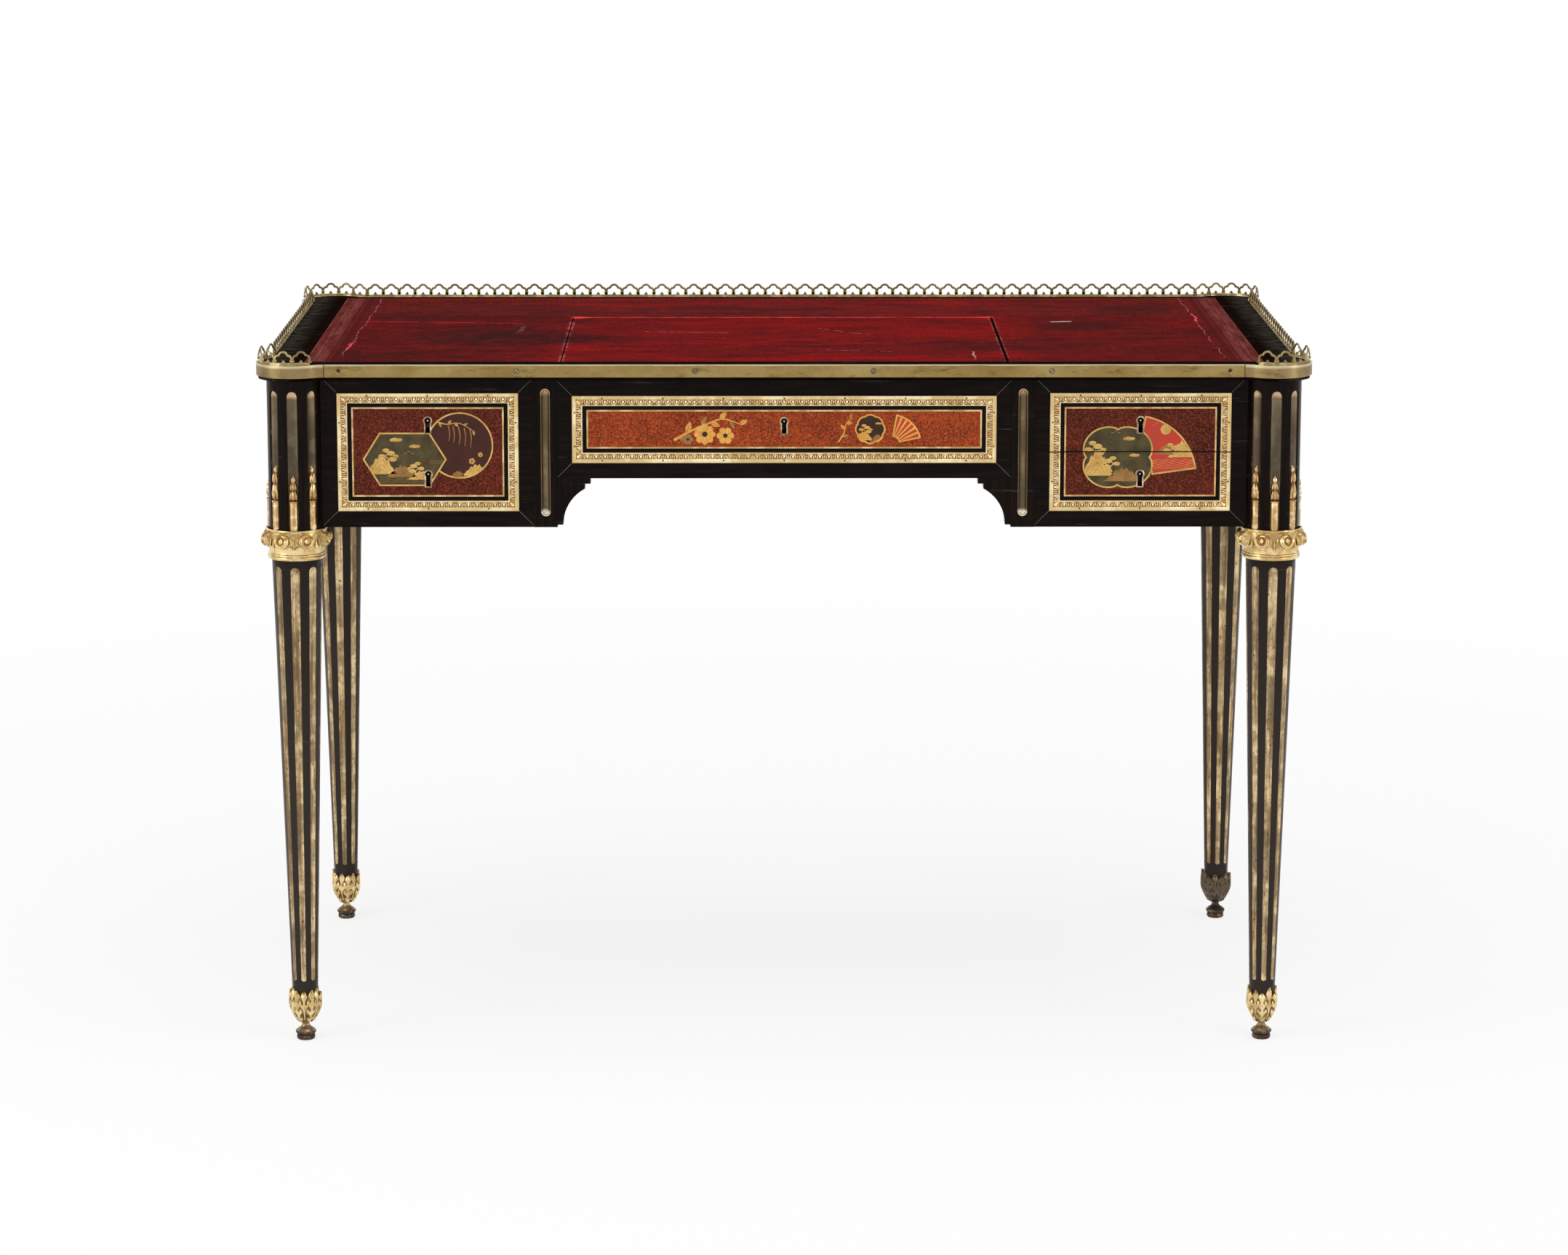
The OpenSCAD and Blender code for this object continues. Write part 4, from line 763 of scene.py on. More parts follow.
def finish_for(node_name):
    if node_name in NODE_FINISH:
        return NODE_FINISH[node_name]
    if node_name.endswith("_box"):
        return OAK
    if node_name.endswith(("_lock", "_bolt")):
        return STEEL
    if node_name.endswith("_mounts"):
        return GILT_PALE
    if node_name.endswith("_lacquer"):
        if node_name.startswith(("upper", "lower")):
            return LACQUER_CUT_SHADOW
        return LACQUER_BRIGHT if node_name.startswith("centre") else LACQUER_DARK
    return EBONY_LEG if node_name.startswith("leg_") else EBONY


for node_name, node_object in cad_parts.items():
    for index in range(len(node_object.material_slots)):
        node_object.material_slots[index].material = finish_for(node_name)
print(len(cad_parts), "nodes finished")

# %% [markdown]
# ## Heaps of shapes
# A mount is many small castings in one piece. A heap collects vertices and faces from simple makers, in
# millimetres, each put in place by a matrix, and becomes one mesh at the end.

# %% Heaps
class Heap:
    def __init__(self):
        self.points, self.faces, self.tints = [], [], []

    def add(self, shape, place=None, tint=0):
        points, faces = shape
        place = place or Matrix.Identity(4)
        start = len(self.points)
        turned = place.determinant() < 0
        self.points += [place @ Vector(p) for p in points]
        for face in faces:
            numbers = [start + i for i in face]
            self.faces.append(numbers[::-1] if turned else numbers)
        self.tints += tint if isinstance(tint, list) else [tint] * len(faces)

    def add_heap(self, other, place=None):
        self.add((other.points, other.faces), place, other.tints)


def make_piece(name, heap, finishes, body, replaces=(), sharp=38):
    """Turns a heap in millimetres into a piece that rides on a body."""
    mesh = bpy.data.meshes.new(name)
    mesh.from_pydata([Vector(p) * MM for p in heap.points], [], heap.faces)
    for finish in finishes:
        mesh.materials.append(finish)
    mesh.polygons.foreach_set("material_index", heap.tints)
    mesh.shade_smooth()
    mesh.set_sharp_from_angle(angle=math.radians(sharp))
    mesh.validate()
    piece = bpy.data.objects.new(name, mesh)
    scene.collection.objects.link(piece)
    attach(piece, body)
    if replaces:
        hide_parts(*replaces)
    print(name, len(mesh.vertices), "vertices")
    return piece


def grid_faces(rows, columns, wrap_rows=False, wrap_columns=False):
    faces = []
    for i in range(rows if wrap_rows else rows - 1):
        for j in range(columns if wrap_columns else columns - 1):
            i2, j2 = (i + 1) % rows, (j + 1) % columns
            faces.append([i * columns + j, i * columns + j2, i2 * columns + j2, i2 * columns + j])
    return faces


def bar_faces(count, sides):
    """The faces of a bar made of cross-sections, with both ends closed."""
    ends = [list(range(sides))[::-1], [(count - 1) * sides + s for s in range(sides)]]
    return grid_faces(count, sides, wrap_columns=True) + ends


def closed_shell(front, back, rows, columns):
    """Two grids of points, one behind the other, joined round their border."""
    count = len(front)
    near = grid_faces(rows, columns)
    faces = near + [[count + n for n in face][::-1] for face in near]
    border = list(range(columns)) + [i * columns + columns - 1 for i in range(1, rows)]
    border += [(rows - 1) * columns + j for j in range(columns - 2, -1, -1)]
    border += [i * columns for i in range(rows - 2, 0, -1)]
    for n, m in zip(border, border[1:] + border[:1]):
        faces.append([m, n, count + n, count + m])
    return front + back, faces


# The sides and the top of a block, whose four low points come before its four high ones
BLOCK_SIDES = [(0, 1, 5, 4), (1, 2, 6, 5), (2, 3, 7, 6), (3, 0, 4, 7), (4, 5, 6, 7)]


def lathe(profile, steps, start=0.0, turn=360.0):
    """A profile of (radius, height) turned about the Z axis; a full turn closes on itself."""
    whole = abs(turn - 360) < 1e-6
    count = steps if whole else steps + 1
    points = []
    for k in range(count):
        a = math.radians(start + turn * k / steps)
        points += [(r * math.cos(a), r * math.sin(a), z) for r, z in profile]
    return points, [f[::-1] for f in grid_faces(count, len(profile), wrap_rows=whole)]


def tube(path, radius, sides, closed=False, up=(0, 0, 1), squash=1.0):
    """A round or flattened bar along a path. radius is one number, or one for each point."""
    count = len(path)
    radii = radius if isinstance(radius, (list, tuple)) else [radius] * count
    spots = [Vector(p) for p in path]
    points = []
    for k in range(count):
        after = spots[(k + 1) % count] if closed or k < count - 1 else spots[k]
        before = spots[k - 1] if closed or k > 0 else spots[k]
        along = (after - before).normalized()
        side = along.cross(Vector(up)).normalized()
        rise = side.cross(along)
        for s in range(sides):
            a = 2 * math.pi * s / sides
            out, up_by = radii[k] * math.cos(a), radii[k] * squash * math.sin(a)
            points.append(spots[k] + side * out + rise * up_by)
    faces = grid_faces(count, sides, True, True) if closed else bar_faces(count, sides)
    return points, [f[::-1] for f in faces]


def dome(rx, ry, rz, rings, sides, tip=1.0):
    """Half of an egg on the XY plane. tip under 1 draws one end to a point."""
    points = []
    for k in range(rings):
        a = math.pi / 2 * k / rings
        for s in range(sides):
            b = 2 * math.pi * s / sides
            narrow = 1 - (1 - tip) * max(0.0, math.sin(b))
            x = rx * math.cos(a) * math.cos(b) * narrow
            points.append((x, ry * math.cos(a) * math.sin(b), rz * math.sin(a)))
    points.append((0, 0, rz))
    faces = grid_faces(rings, sides, wrap_columns=True)
    last = (rings - 1) * sides
    faces += [[last + s, last + (s + 1) % sides, len(points) - 1] for s in range(sides)]
    return points, faces


def at(x, y=0.0, z=0.0):
    return Matrix.Translation((x, y, z))


def spin(degrees, axis="Z"):
    return Matrix.Rotation(math.radians(degrees), 4, axis)


def leg_places():
    """The four leg axes in millimetres, drawn for the front left one and mirrored."""
    for mirror_x in (1, -1):
        for mirror_y in (1, -1):
            mirror = Matrix.Diagonal((mirror_x, mirror_y, 1, 1))
            yield mirror @ at(-LEG_X / MM, -LEG_Y / MM)


# %% [markdown]
# ## Flutes
# Each flute of a leg or column is lined with a thin brass strip, bent to a hollow and closed with a round
# end. The CAD part has a flat strip in a groove. The finer piece is a curved strip whose edges lie just
# below the surface of the wood. Its depth follows half an ellipse across, and a round end in length.

# %% Flute linings
FLUTES = 8
COLUMN_R, COLUMN_FLUTE_R, COLUMN_DEPTH, COLUMN_LIP = 29.4, 6.45, 3.1, 0.95
FRIEZE_LOW, FLUTE_TOP = 571, 721
LEG_TOP_R, LEG_FOOT_R, SHOE_H, COLLAR_Z = 26.9, 14.0, 58, 537
LEG_TAPER = (LEG_TOP_R - LEG_FOOT_R) / (COLLAR_Z - SHOE_H)
LEG_FLUTE_R, LEG_DEPTH, LEG_LIP = 5.15, 2.1, 0.6
LEG_FLUTE_LOW, LEG_FLUTE_HIGH = 68, 530
ACROSS = 10
END_STEPS = 7


def leg_radius(z):
    return LEG_FOOT_R + LEG_TAPER * (z - SHOE_H)


def hollow_strip(low, high, r_low, r_high, lip, depth, round_low):
    """A hollow strip in the XZ plane that dips towards +Y, from one end's middle to the other's."""
    rows = []
    if round_low:
        for k in range(END_STEPS):
            a = math.pi / 2 * (1 - k / END_STEPS)
            rows.append((low - r_low * math.sin(a), r_low, math.cos(a)))
    span = 8
    for k in range(span + 1):
        t = k / span
        rows.append((low + (high - low) * t, r_low + (r_high - r_low) * t, 1.0))
    for k in range(1, END_STEPS + 1):
        a = math.pi / 2 * k / END_STEPS
        rows.append((high + r_high * math.sin(a), r_high, math.cos(a)))
    points = []
    for z, r, share in rows:
        share = max(share, 0.04)
        size = r / LEG_FLUTE_R if depth == LEG_DEPTH else 1
        for j in range(ACROSS + 1):
            a = math.pi * j / ACROSS
            x = -r * share * math.cos(a)
            sunk = lip + (depth - lip) * share * math.sin(a)
            points.append((x, sunk * size, z))
    return points, grid_faces(len(rows), ACROSS + 1)


def shaded_edge_tints(strip, dark):
    """1 for the faces along both long edges of a strip, which carry painted shade from the flute's walls,
    and 0 for the others.
    """
    return [1 if k % ACROSS < dark or k % ACROSS >= ACROSS - dark else 0 for k in range(len(strip[1]))]


column_linings, leg_linings = Heap(), Heap()
column_strip = hollow_strip(FRIEZE_LOW, FLUTE_TOP - COLUMN_FLUTE_R, COLUMN_FLUTE_R, COLUMN_FLUTE_R,
                            COLUMN_LIP, COLUMN_DEPTH, False)
low_r = LEG_FLUTE_R * leg_radius(LEG_FLUTE_LOW) / LEG_TOP_R
strip_low = LEG_FLUTE_LOW + low_r
lean = math.atan(LEG_TAPER)
strip_length = (LEG_FLUTE_HIGH - LEG_FLUTE_R - strip_low) / math.cos(lean)
leg_strip = hollow_strip(0, strip_length, low_r, LEG_FLUTE_R, LEG_LIP, LEG_DEPTH, True)
COLUMN_ANGLES = [-45, 0, 45, 90, 135]
for leg in leg_places():
    for angle in COLUMN_ANGLES:
        face = leg @ spin(-angle) @ at(0, -COLUMN_R, 0)
        column_linings.add(column_strip, face, shaded_edge_tints(column_strip, 2))
    for k in range(FLUTES):
        leaning = at(0, -leg_radius(strip_low), strip_low) @ spin(math.degrees(lean), "X")
        leg_linings.add(leg_strip, leg @ spin(-k * 360 / FLUTES) @ leaning, shaded_edge_tints(leg_strip, 1))
make_piece("column_linings", column_linings, [COLUMN_FLUTE_BRASS, FLUTE_EDGE_SHADE], "carcass",
           ["column_flute_linings"])
make_piece("leg_linings", leg_linings, [LEG_BRASS, LEG_EDGE_SHADE], "carcass", ["leg_flute_linings"])

# %% [markdown]
# ## Husks
# In the foot of each column flute lies a gilt rod that ends in a ring, and above it a chain of husks:
# two open seed-pods of three petals, and a bud. The front flute has a shorter chain than the others.
# A petal is a long dome, and the pod's swelling comes from three of them set side by side.

# %% Husks
BUD = [(0, 0), (1.7, 0.5), (2.9, 2.2), (3.1, 3.8), (2.4, 5.8), (1.1, 7.6), (0, 8.2)]
ROD_INWARD = 3.0


def husk_chain(sizes):
    """Half a rod, its ring, the pods of the given heights and widths, and a bud, round an upright axis."""
    heap = Heap()
    heap.add(lathe([(0, FRIEZE_LOW), (4.7, FRIEZE_LOW), (4.7, 600), (4.5, 601)], 14, 180, 180))
    heap.add(lathe([(4.3, 600.4), (5.2, 601), (5.3, 602.2), (4.4, 602.9), (0, 603)], 14, 180, 180))
    z = 603.0
    for tall, wide in sizes:
        core = [(0, z - 0.5), (wide * 0.5, z), (wide * 0.95, z + tall * 0.3), (wide * 0.85, z + tall * 0.6),
                (wide * 0.45, z + tall * 0.95), (0, z + tall)]
        heap.add(lathe(core, 12, 180, 180), tint=1)
        for side in (-1, 0, 1):
            petal = dome(wide * 0.42, tall * 0.47, wide * 0.42, 4, 10, 0.45)
            lay = at(side * wide * 0.55, -wide * (0.78 - 0.4 * abs(side)), z + tall * 0.5)
            heap.add(petal, lay @ spin(-side * 9, "Y") @ spin(side * 32) @ spin(90, "X"))
        z += tall * 0.93
    heap.add(lathe([(0, z - 0.6), (1.9, z), (1.9, z + 0.8), (0, z + 1.2)], 12, 180, 180), tint=1)
    heap.add(lathe([(r, z + up) for r, up in BUD], 14, 180, 180))
    return heap


short_chain = husk_chain([(11.5, 4.5), (8.6, 3.9)])
tall_chain = husk_chain([(19, 4.7), (12, 4.3)])
husks = Heap()
for leg in leg_places():
    for order, angle in enumerate(COLUMN_ANGLES):
        chain = tall_chain if order % 2 == 0 else short_chain
        husks.add_heap(chain, leg @ spin(-angle) @ at(0, -COLUMN_R + ROD_INWARD, 0))
make_piece("husks", husks, [GILT_HUSK, GILT_HOLLOW], "carcass", ["flute_husks"])

# %% [markdown]
# ## Collars
# A gilt collar joins each column to its leg. It is turned first, with stepped rings and a hollow below,
# and a thin rim that stands clear of the column above. Round its shoulder go eight large eggs. Each lies
# in a swelling cup with three ridges, and a dart with two small leaves stands between one cup and the next.

# %% Collars
SHOULDER = [(29.6, 546), (29.5, 549), (30.2, 552), (31.3, 556), (32.2, 561), (32.4, 565), (32.0, 567.6)]
COLLAR_PROFILE = [
    (23.3, 537.2), (28.8, 537.2), (30.4, 537.9), (31.2, 539.3), (31.0, 540.9), (30.2, 541.7), (30.7, 542.6),
    (30.5, 543.7), (29.7, 544.4)]
COLLAR_RIM = [
    (32.8, 568.6), (33.1, 569.8), (32.6, 570.9), (31.6, 570.9), (31.0, 569.6), (30.6, 566), (29.5, 565.6),
    (23.3, 565.6), (23.3, 537.2)]
COLLAR_EGGS = 8
EGG_Z, DART_Z, LEAF_Z = 559.6, 556.5, 552.4
LEAF_TURN = 5.2
CUP_X, CUP_Y, CUP_RISE = 8.6, 8.0, 6.6
# The cup's side and hollow, as shares of its half-width and its rise
CUP_PROFILE_SHARES = [(1.0, 0), (0.97, 0.3), (0.88, 0.68), (0.76, 0.92), (0.66, 1.0), (0.57, 0.9),
                      (0.5, 0.62), (0, 0.5)]
# Each ridge round an egg: its shares of the cup's width and rise, and its thickness
COLLAR_RIDGES = ((0.67, 0.98, 0.75), (0.88, 0.70, 0.75), (1.06, 0.08, 0.8))


def on_shoulder(angle, z, proud):
    """A point over the shoulder of the collar, at an angle in degrees and a height."""
    for (r1, z1), (r2, z2) in zip(SHOULDER, SHOULDER[1:]):
        if z <= z2 or (r2, z2) == SHOULDER[-1]:
            share = min(max((z - z1) / (z2 - z1), 0), 1)
            break
    r = r1 + (r2 - r1) * share + proud
    a = math.radians(angle)
    return Vector((r * math.cos(a), r * math.sin(a), z))


def egg_cup():
    """An egg in its swelling cup, flat on the XY plane with its upper end towards +Y."""
    heap = Heap()
    heap.add(lathe(CUP_PROFILE_SHARES, 28), Matrix.Diagonal((CUP_X, CUP_Y, CUP_RISE, 1)), 1)
    heap.add(dome(3.7, 4.5, 8.2, 7, 18, 0.88), at(0, 0.2, 0))
    for share, lift, thick in COLLAR_RIDGES:
        rise = CUP_RISE * lift
        path = []
        for n in range(17):
            b = math.radians(14 - 208 * n / 16)
            lower = rise - (0.5 if n in (0, 16) else 0)
            path.append((CUP_X * share * math.cos(b), CUP_Y * share * math.sin(b), lower))
        heap.add(tube(path, thick, 6))
    return heap


def collar_heap():
    heap = Heap()
    heap.add(lathe(COLLAR_PROFILE + SHOULDER[:1], 64))
    heap.add(lathe(SHOULDER[:3], 64))
    heap.add(lathe(SHOULDER[2:], 64), tint=1)
    heap.add(lathe(SHOULDER[-1:] + COLLAR_RIM, 64))
    step = 360 / COLLAR_EGGS
    cup = egg_cup()
    for k in range(COLLAR_EGGS):
        middle = -90 + (k + 0.5) * step
        seat = on_shoulder(middle, EGG_Z, -0.8)
        heap.add_heap(cup, at(*seat) @ spin(middle) @ spin(88, "Y") @ spin(90))
        between = middle + step / 2
        dart = on_shoulder(between, DART_Z, -0.2)
        heap.add(dome(1.4, 6.4, 2.2, 4, 10, 0.35), at(*dart) @ spin(between) @ spin(80, "Y") @ spin(90))
        for turn in (-1, 1):
            heading = between + turn * LEAF_TURN
            leaf = on_shoulder(heading, LEAF_Z, -0.2)
            tilt = spin(heading) @ spin(76, "Y") @ spin(90 - turn * 38)
            heap.add(dome(1.1, 3.6, 1.8, 3, 8, 0.4), at(*leaf) @ tilt)
    return heap


collar = collar_heap()
collars = Heap()
for leg in leg_places():
    collars.add_heap(collar, leg)
make_piece("collars", collars, [GILT, CUP_GILT], "carcass", ["leg_collars"])

# %% [markdown]
# ## Leaf shoes
# Each leg stands in a cup of acanthus leaves on a short neck and a round foot. A leaf is a sheet wrapped
# round the cup: its half-width swells and pinches so that the edge has lobes, the middle stands up
# as a rib, and the tip turns out a little. Two rings of leaves overlap, the back ones half a step round.
# The back right shoe has lost its gilding.

# %% Leaf shoes
FOOT_PROFILE = [
    (0, 0), (8.8, 0), (9.8, 1.0), (10.1, 3.2), (9.6, 5.2), (8.7, 5.8), (8.8, 6.4), (10.6, 7.0), (11.3, 8.4),
    (10.9, 9.8)]
NECK_PROFILE = [
    (10.9, 9.8), (9.4, 10.8), (8.9, 11.6), (6.9, 12.8), (5.0, 14.4), (4.0, 16.4), (3.9, 17.8), (4.5, 18.8),
    (5.7, 19.3), (6.0, 20.0), (5.6, 20.8), (8.4, 22.6)]
CUP_PROFILE = [
    (8.4, 22.6), (11.6, 26), (14.0, 31), (15.3, 37), (15.7, 44), (15.4, 50), (14.9, 50.6), (14.3, 49)]
LEAF_ROWS, LEAF_COLUMNS = 24, 10
# A shoe's third finish is painted shade, for the leaves' edges, backs and valleys and the cup under them
GILDED_SHOE = [GILT, DARK_BRONZE, SHOE_SHADE, FOOT_BRASS]
WORN_SHOE = [BROWN_BRONZE, DARK_BRONZE, DARK_BRONZE, DARK_BRONZE]


def acanthus(low, high, half_angle, out, lobes, seed):
    """One leaf, as a closed shell round the Z axis with its middle at angle 0."""
    front, back = [], []
    shake = random.Random(seed)
    bend = shake.uniform(-3, 3)
    for i in range(LEAF_ROWS + 1):
        s = i / LEAF_ROWS
        z = low + (high - low) * s
        swell = math.sin(math.pi * min(s * 0.62 + 0.2, 1.0)) ** 0.8
        tip = min(1.0, (1 - s) / 0.22) ** 0.6
        lobe = 1 - 0.30 * abs(math.cos(lobes * math.pi * s)) ** 3
        half = half_angle * swell * tip * lobe
        cup = 7.6 + 8.6 * math.sin(math.pi / 2 * min((z - 21) / 21, 1.0)) if z > 21 else 7.6
        cup += out - 1.1 * max(0.0, (z - 50) / 10) + 1.5 * max(0.0, s - 0.9) * 10 * 0.5
        for j in range(LEAF_COLUMNS + 1):
            t = j / LEAF_COLUMNS * 2 - 1
            rib = 1.5 * math.exp(-(t * 4.2) ** 2) * (1 - s * 0.5)
            vein = 0.7 * math.cos(math.pi * (lobes * 2 * s - abs(t) * 1.6)) * abs(t) ** 0.7
            sag = -2.0 * abs(t) ** 2.2
            r = cup + rib + vein + sag
            a = math.radians(t * half + bend * s * s)
            droop = -1.6 * abs(t) * (1 - s)
            front.append((r * math.cos(a), r * math.sin(a), z + droop))
            back.append(((r - 1.0) * math.cos(a), (r - 1.0) * math.sin(a), z + droop))
    points, faces = closed_shell(front, back, LEAF_ROWS + 1, LEAF_COLUMNS + 1)
    # Painted shade on faces at the leaf's edges, in the valleys between its lobes, and on its back
    tints = []
    for i in range(LEAF_ROWS):
        for j in range(LEAF_COLUMNS):
            t = abs((j + 0.5) / LEAF_COLUMNS * 2 - 1)
            ridge = math.cos(math.pi * (lobes * 2 * (i + 0.5) / LEAF_ROWS - t * 1.6))
            tints.append(2 if t > 0.3 and ridge < -0.55 or t > 0.85 else 0)
    tints += [2] * (len(faces) - len(tints))
    return (points, faces), tints


def shoe_heap(seed):
    heap = Heap()
    heap.add(lathe(FOOT_PROFILE, 40), tint=1)
    heap.add(lathe(NECK_PROFILE, 40), tint=3)
    # The cup under the leaves is painted shade
    heap.add(lathe(CUP_PROFILE, 40), tint=2)
    for k in range(6):
        leaf, tints = acanthus(23, 57.5 + (seed * 3 + k * 5) % 4, 25, -0.3, 3, seed + k)
        heap.add(leaf, spin(k * 60 + 30), tints)
    for k in range(6):
        leaf, tints = acanthus(20.5, 53.5 + (seed + k * 7) % 6, 27, 1.0, 4, seed + 10 + k)
        heap.add(leaf, spin(k * 60), tints)
    return heap


for number, leg in enumerate(leg_places()):
    shoe = Heap()
    shoe.add_heap(shoe_heap(number * 20), leg @ spin(number * 17))
    shoe_finishes = WORN_SHOE if number == 3 else GILDED_SHOE
    make_piece(f"leaf_shoe_{number + 1}", shoe, shoe_finishes, "carcass",
               ["leaf_shoes"] if number == 0 else [], 42)

# %% [markdown]
# ## Gallery
# A pierced brass gallery runs round the back and sides and hugs the ears. It is a row of three-lobed
# loops on a low rail. Each loop is a bar bent through three arcs, and each has a small point standing
# on the rail inside it. The ears are circles, joined to the straight edges by hollow quarter-turns,
# so the line of the gallery there is worked out as a distance along those arcs.

# %% Gallery
EDGE_OUT, EAR_R, EAR_HOLLOW_R = 29.0, 40.0, 20.0
GALLERY_INSET, LOOP_PITCH, STRIP_LOOPS = 4.0, 19.0, 15
FRONT_REACH = 20.0
EAR_TANGENT = math.sqrt((EAR_R + EAR_HOLLOW_R) ** 2 - (EDGE_OUT + EAR_HOLLOW_R) ** 2)
EAR_ANGLE = math.degrees(math.atan2(EAR_TANGENT, EDGE_OUT + EAR_HOLLOW_R))
EAR_LINE_R, HOLLOW_LINE_R = EAR_R - GALLERY_INSET, EAR_HOLLOW_R + GALLERY_INSET
HOLLOW_L = HOLLOW_LINE_R * math.radians(EAR_ANGLE)


def arc(cx, cy, r, start, end, steps):
    angles = [math.radians(start + (end - start) * k / steps) for k in range(steps + 1)]
    return [(cx + r * math.cos(a), cy + r * math.sin(a)) for a in angles]


# Middle and radius of a loop's side lobes, and height and radius of its top lobe
SIDE_LOBE, SIDE_R, TOP_LOBE, TOP_R = (5.2, 6.9), 3.9, 9.74, 4.8
WIRE_W, WIRE_T = 1.2, 0.8


def wedge(width, low, high, thick):
    """A small rounded tooth that stands on the rail."""
    half, tip = width / 2, width * 0.12
    line = [(-half, low), (half, low), (tip, high - 0.3), (0, high), (-tip, high - 0.3)]
    points = [(x * share, y, z) for y, share in ((-thick / 2, 0.92), (thick / 2, 0.92)) for x, z in line]
    count = len(line)
    faces = [list(range(count)), [count + k for k in range(count)][::-1]]
    faces += [[(k + 1) % count, k, count + k, count + (k + 1) % count] for k in range(count)]
    return points, faces


def loop_shape():
    x, low = SIDE_LOBE
    line = (arc(-x, low, SIDE_R, 228, 82, 12) + arc(0, TOP_LOBE, TOP_R, 168, 12, 12)
            + arc(x, low, SIDE_R, 98, -48, 12))
    heap = Heap()
    heap.add(tube([(x, 0, z) for x, z in line], WIRE_W, 8, up=(0, 1, 0), squash=WIRE_T / WIRE_W))
    heap.add(wedge(5.2, 2.7, 5.9, 1.5))
    for side in (-1, 1):
        heap.add(wedge(4.6, 2.7, 6.4, 1.5), at(side * LOOP_PITCH * 0.5))
    return heap


def ear_place(s, start, end):
    """Where the gallery is, s millimetres past the start of an ear's arc: x, y and heading in degrees."""
    length = EAR_LINE_R * math.radians(end - start)
    if 0 <= s <= length:
        a = start + (end - start) * s / length
        r = math.radians(a)
        return -EAR_LINE_R * math.sin(r), -EAR_LINE_R * math.cos(r), -a
    before = s < 0
    a = start if before else end
    turned = math.degrees((s if before else s - length) / HOLLOW_LINE_R)
    b = a - turned if before else a - turned
    far = EAR_R + EAR_HOLLOW_R
    ra, rb = math.radians(a), math.radians(b)
    x = -far * math.sin(ra) + HOLLOW_LINE_R * math.sin(rb)
    y = -far * math.cos(ra) + HOLLOW_LINE_R * math.cos(rb)
    return x, y, -b


LOOP = loop_shape()


def rail(path):
    """A low rail with a rounded top along a path of (x, y)."""
    right = [(1.0, 0), (1.0, 0.9), (0.75, 1.3), (1.0, 1.9), (0.85, 2.6), (0.4, 3.0)]
    profile = [(-1.0, 0), *right, *[(-across, z) for across, z in right[:0:-1]]]
    points = []
    for k, (x, y) in enumerate(path):
        before, after = Vector(path[max(k - 1, 0)]), Vector(path[min(k + 1, len(path) - 1)])
        along = (after - before).normalized()
        points += [(x - along.y * across, y + along.x * across, z) for across, z in profile]
    return points, bar_faces(len(path), len(profile))


def straight_gallery(length):
    """Loops along X on a rail, in strips of equal length with the same whole number of loops each."""
    heap = Heap()
    strips = math.ceil(length / LOOP_PITCH / STRIP_LOOPS)
    count = strips * round(length / strips / LOOP_PITCH)
    for k in range(count):
        stretch = Matrix.Diagonal((length / count / LOOP_PITCH, 1, 1, 1))
        heap.add_heap(LOOP, at((k + 0.5) * length / count - length / 2) @ stretch)
    heap.add(rail([(-length / 2, 0), (0, 0), (length / 2, 0)]), tint=1)
    return heap


def ear_gallery(start, end, lead):
    heap = Heap()
    total = EAR_LINE_R * math.radians(end - start) + HOLLOW_L + lead
    count = round(total / LOOP_PITCH)
    for k in range(count):
        x, y, heading = ear_place((k + 0.5) * total / count - lead, start, end)
        heap.add_heap(LOOP, at(x, y) @ spin(heading))
    steps = 60
    heap.add(rail([ear_place(total * k / steps - lead, start, end)[:2] for k in range(steps + 1)]), tint=1)
    return heap


def place_gallery(name, heap, places):
    made = Heap()
    for place in places:
        made.add_heap(heap, at(0, 0, TOP_Z / MM) @ place)
    replaced = name.replace("pierced", "gallery")
    make_piece(name, made, [BRASS, RAIL_HIGHLIGHT_BRASS], "carcass", [replaced])


MIRROR_X, MIRROR_Y = Matrix.Diagonal((-1, 1, 1, 1)), Matrix.Diagonal((1, -1, 1, 1))
edge_x, edge_y = LEG_X / MM + EDGE_OUT - GALLERY_INSET, LEG_Y / MM + EDGE_OUT - GALLERY_INSET
side_gallery = straight_gallery(2 * (LEG_Y / MM - EAR_TANGENT))
place_gallery("pierced_back", straight_gallery(2 * (LEG_X / MM - EAR_TANGENT)), [at(0, edge_y)])
place_gallery("pierced_left", side_gallery, [at(-edge_x) @ spin(90)])
place_gallery("pierced_right", side_gallery, [MIRROR_X @ at(-edge_x) @ spin(90)])
corner_at = at(-LEG_X / MM, -LEG_Y / MM)
front_start = -math.degrees(math.asin(FRONT_REACH / EAR_LINE_R))
front_ear = ear_gallery(front_start, 90 + EAR_ANGLE, 0)
back_ear = ear_gallery(-EAR_ANGLE, 90 + EAR_ANGLE, HOLLOW_L)
corners = Heap()
for mirror in (Matrix.Identity(4), MIRROR_X):
    corners.add_heap(front_ear, mirror @ corner_at)
    corners.add_heap(back_ear, mirror @ MIRROR_Y @ corner_at)
place_gallery("pierced_corners", corners, [Matrix.Identity(4)])

# %% [markdown]
# ## Mouldings of the drawer faces
# Round each panel goes a gilt frame with mitred corners: a flat outer strip, a band of egg and dart whose
# round ends point inwards, and a thin inner lip. Inside it, past a strip of black, a gilt fillet edges
# the lacquer. The frame is drawn by moving one profile to the four corners. The eggs are domes with a
# bar bent round each, and between two of them lies a dart. Small dark domes beside both are painted
# shade for the chased hollows there, and small nails hold the strip.

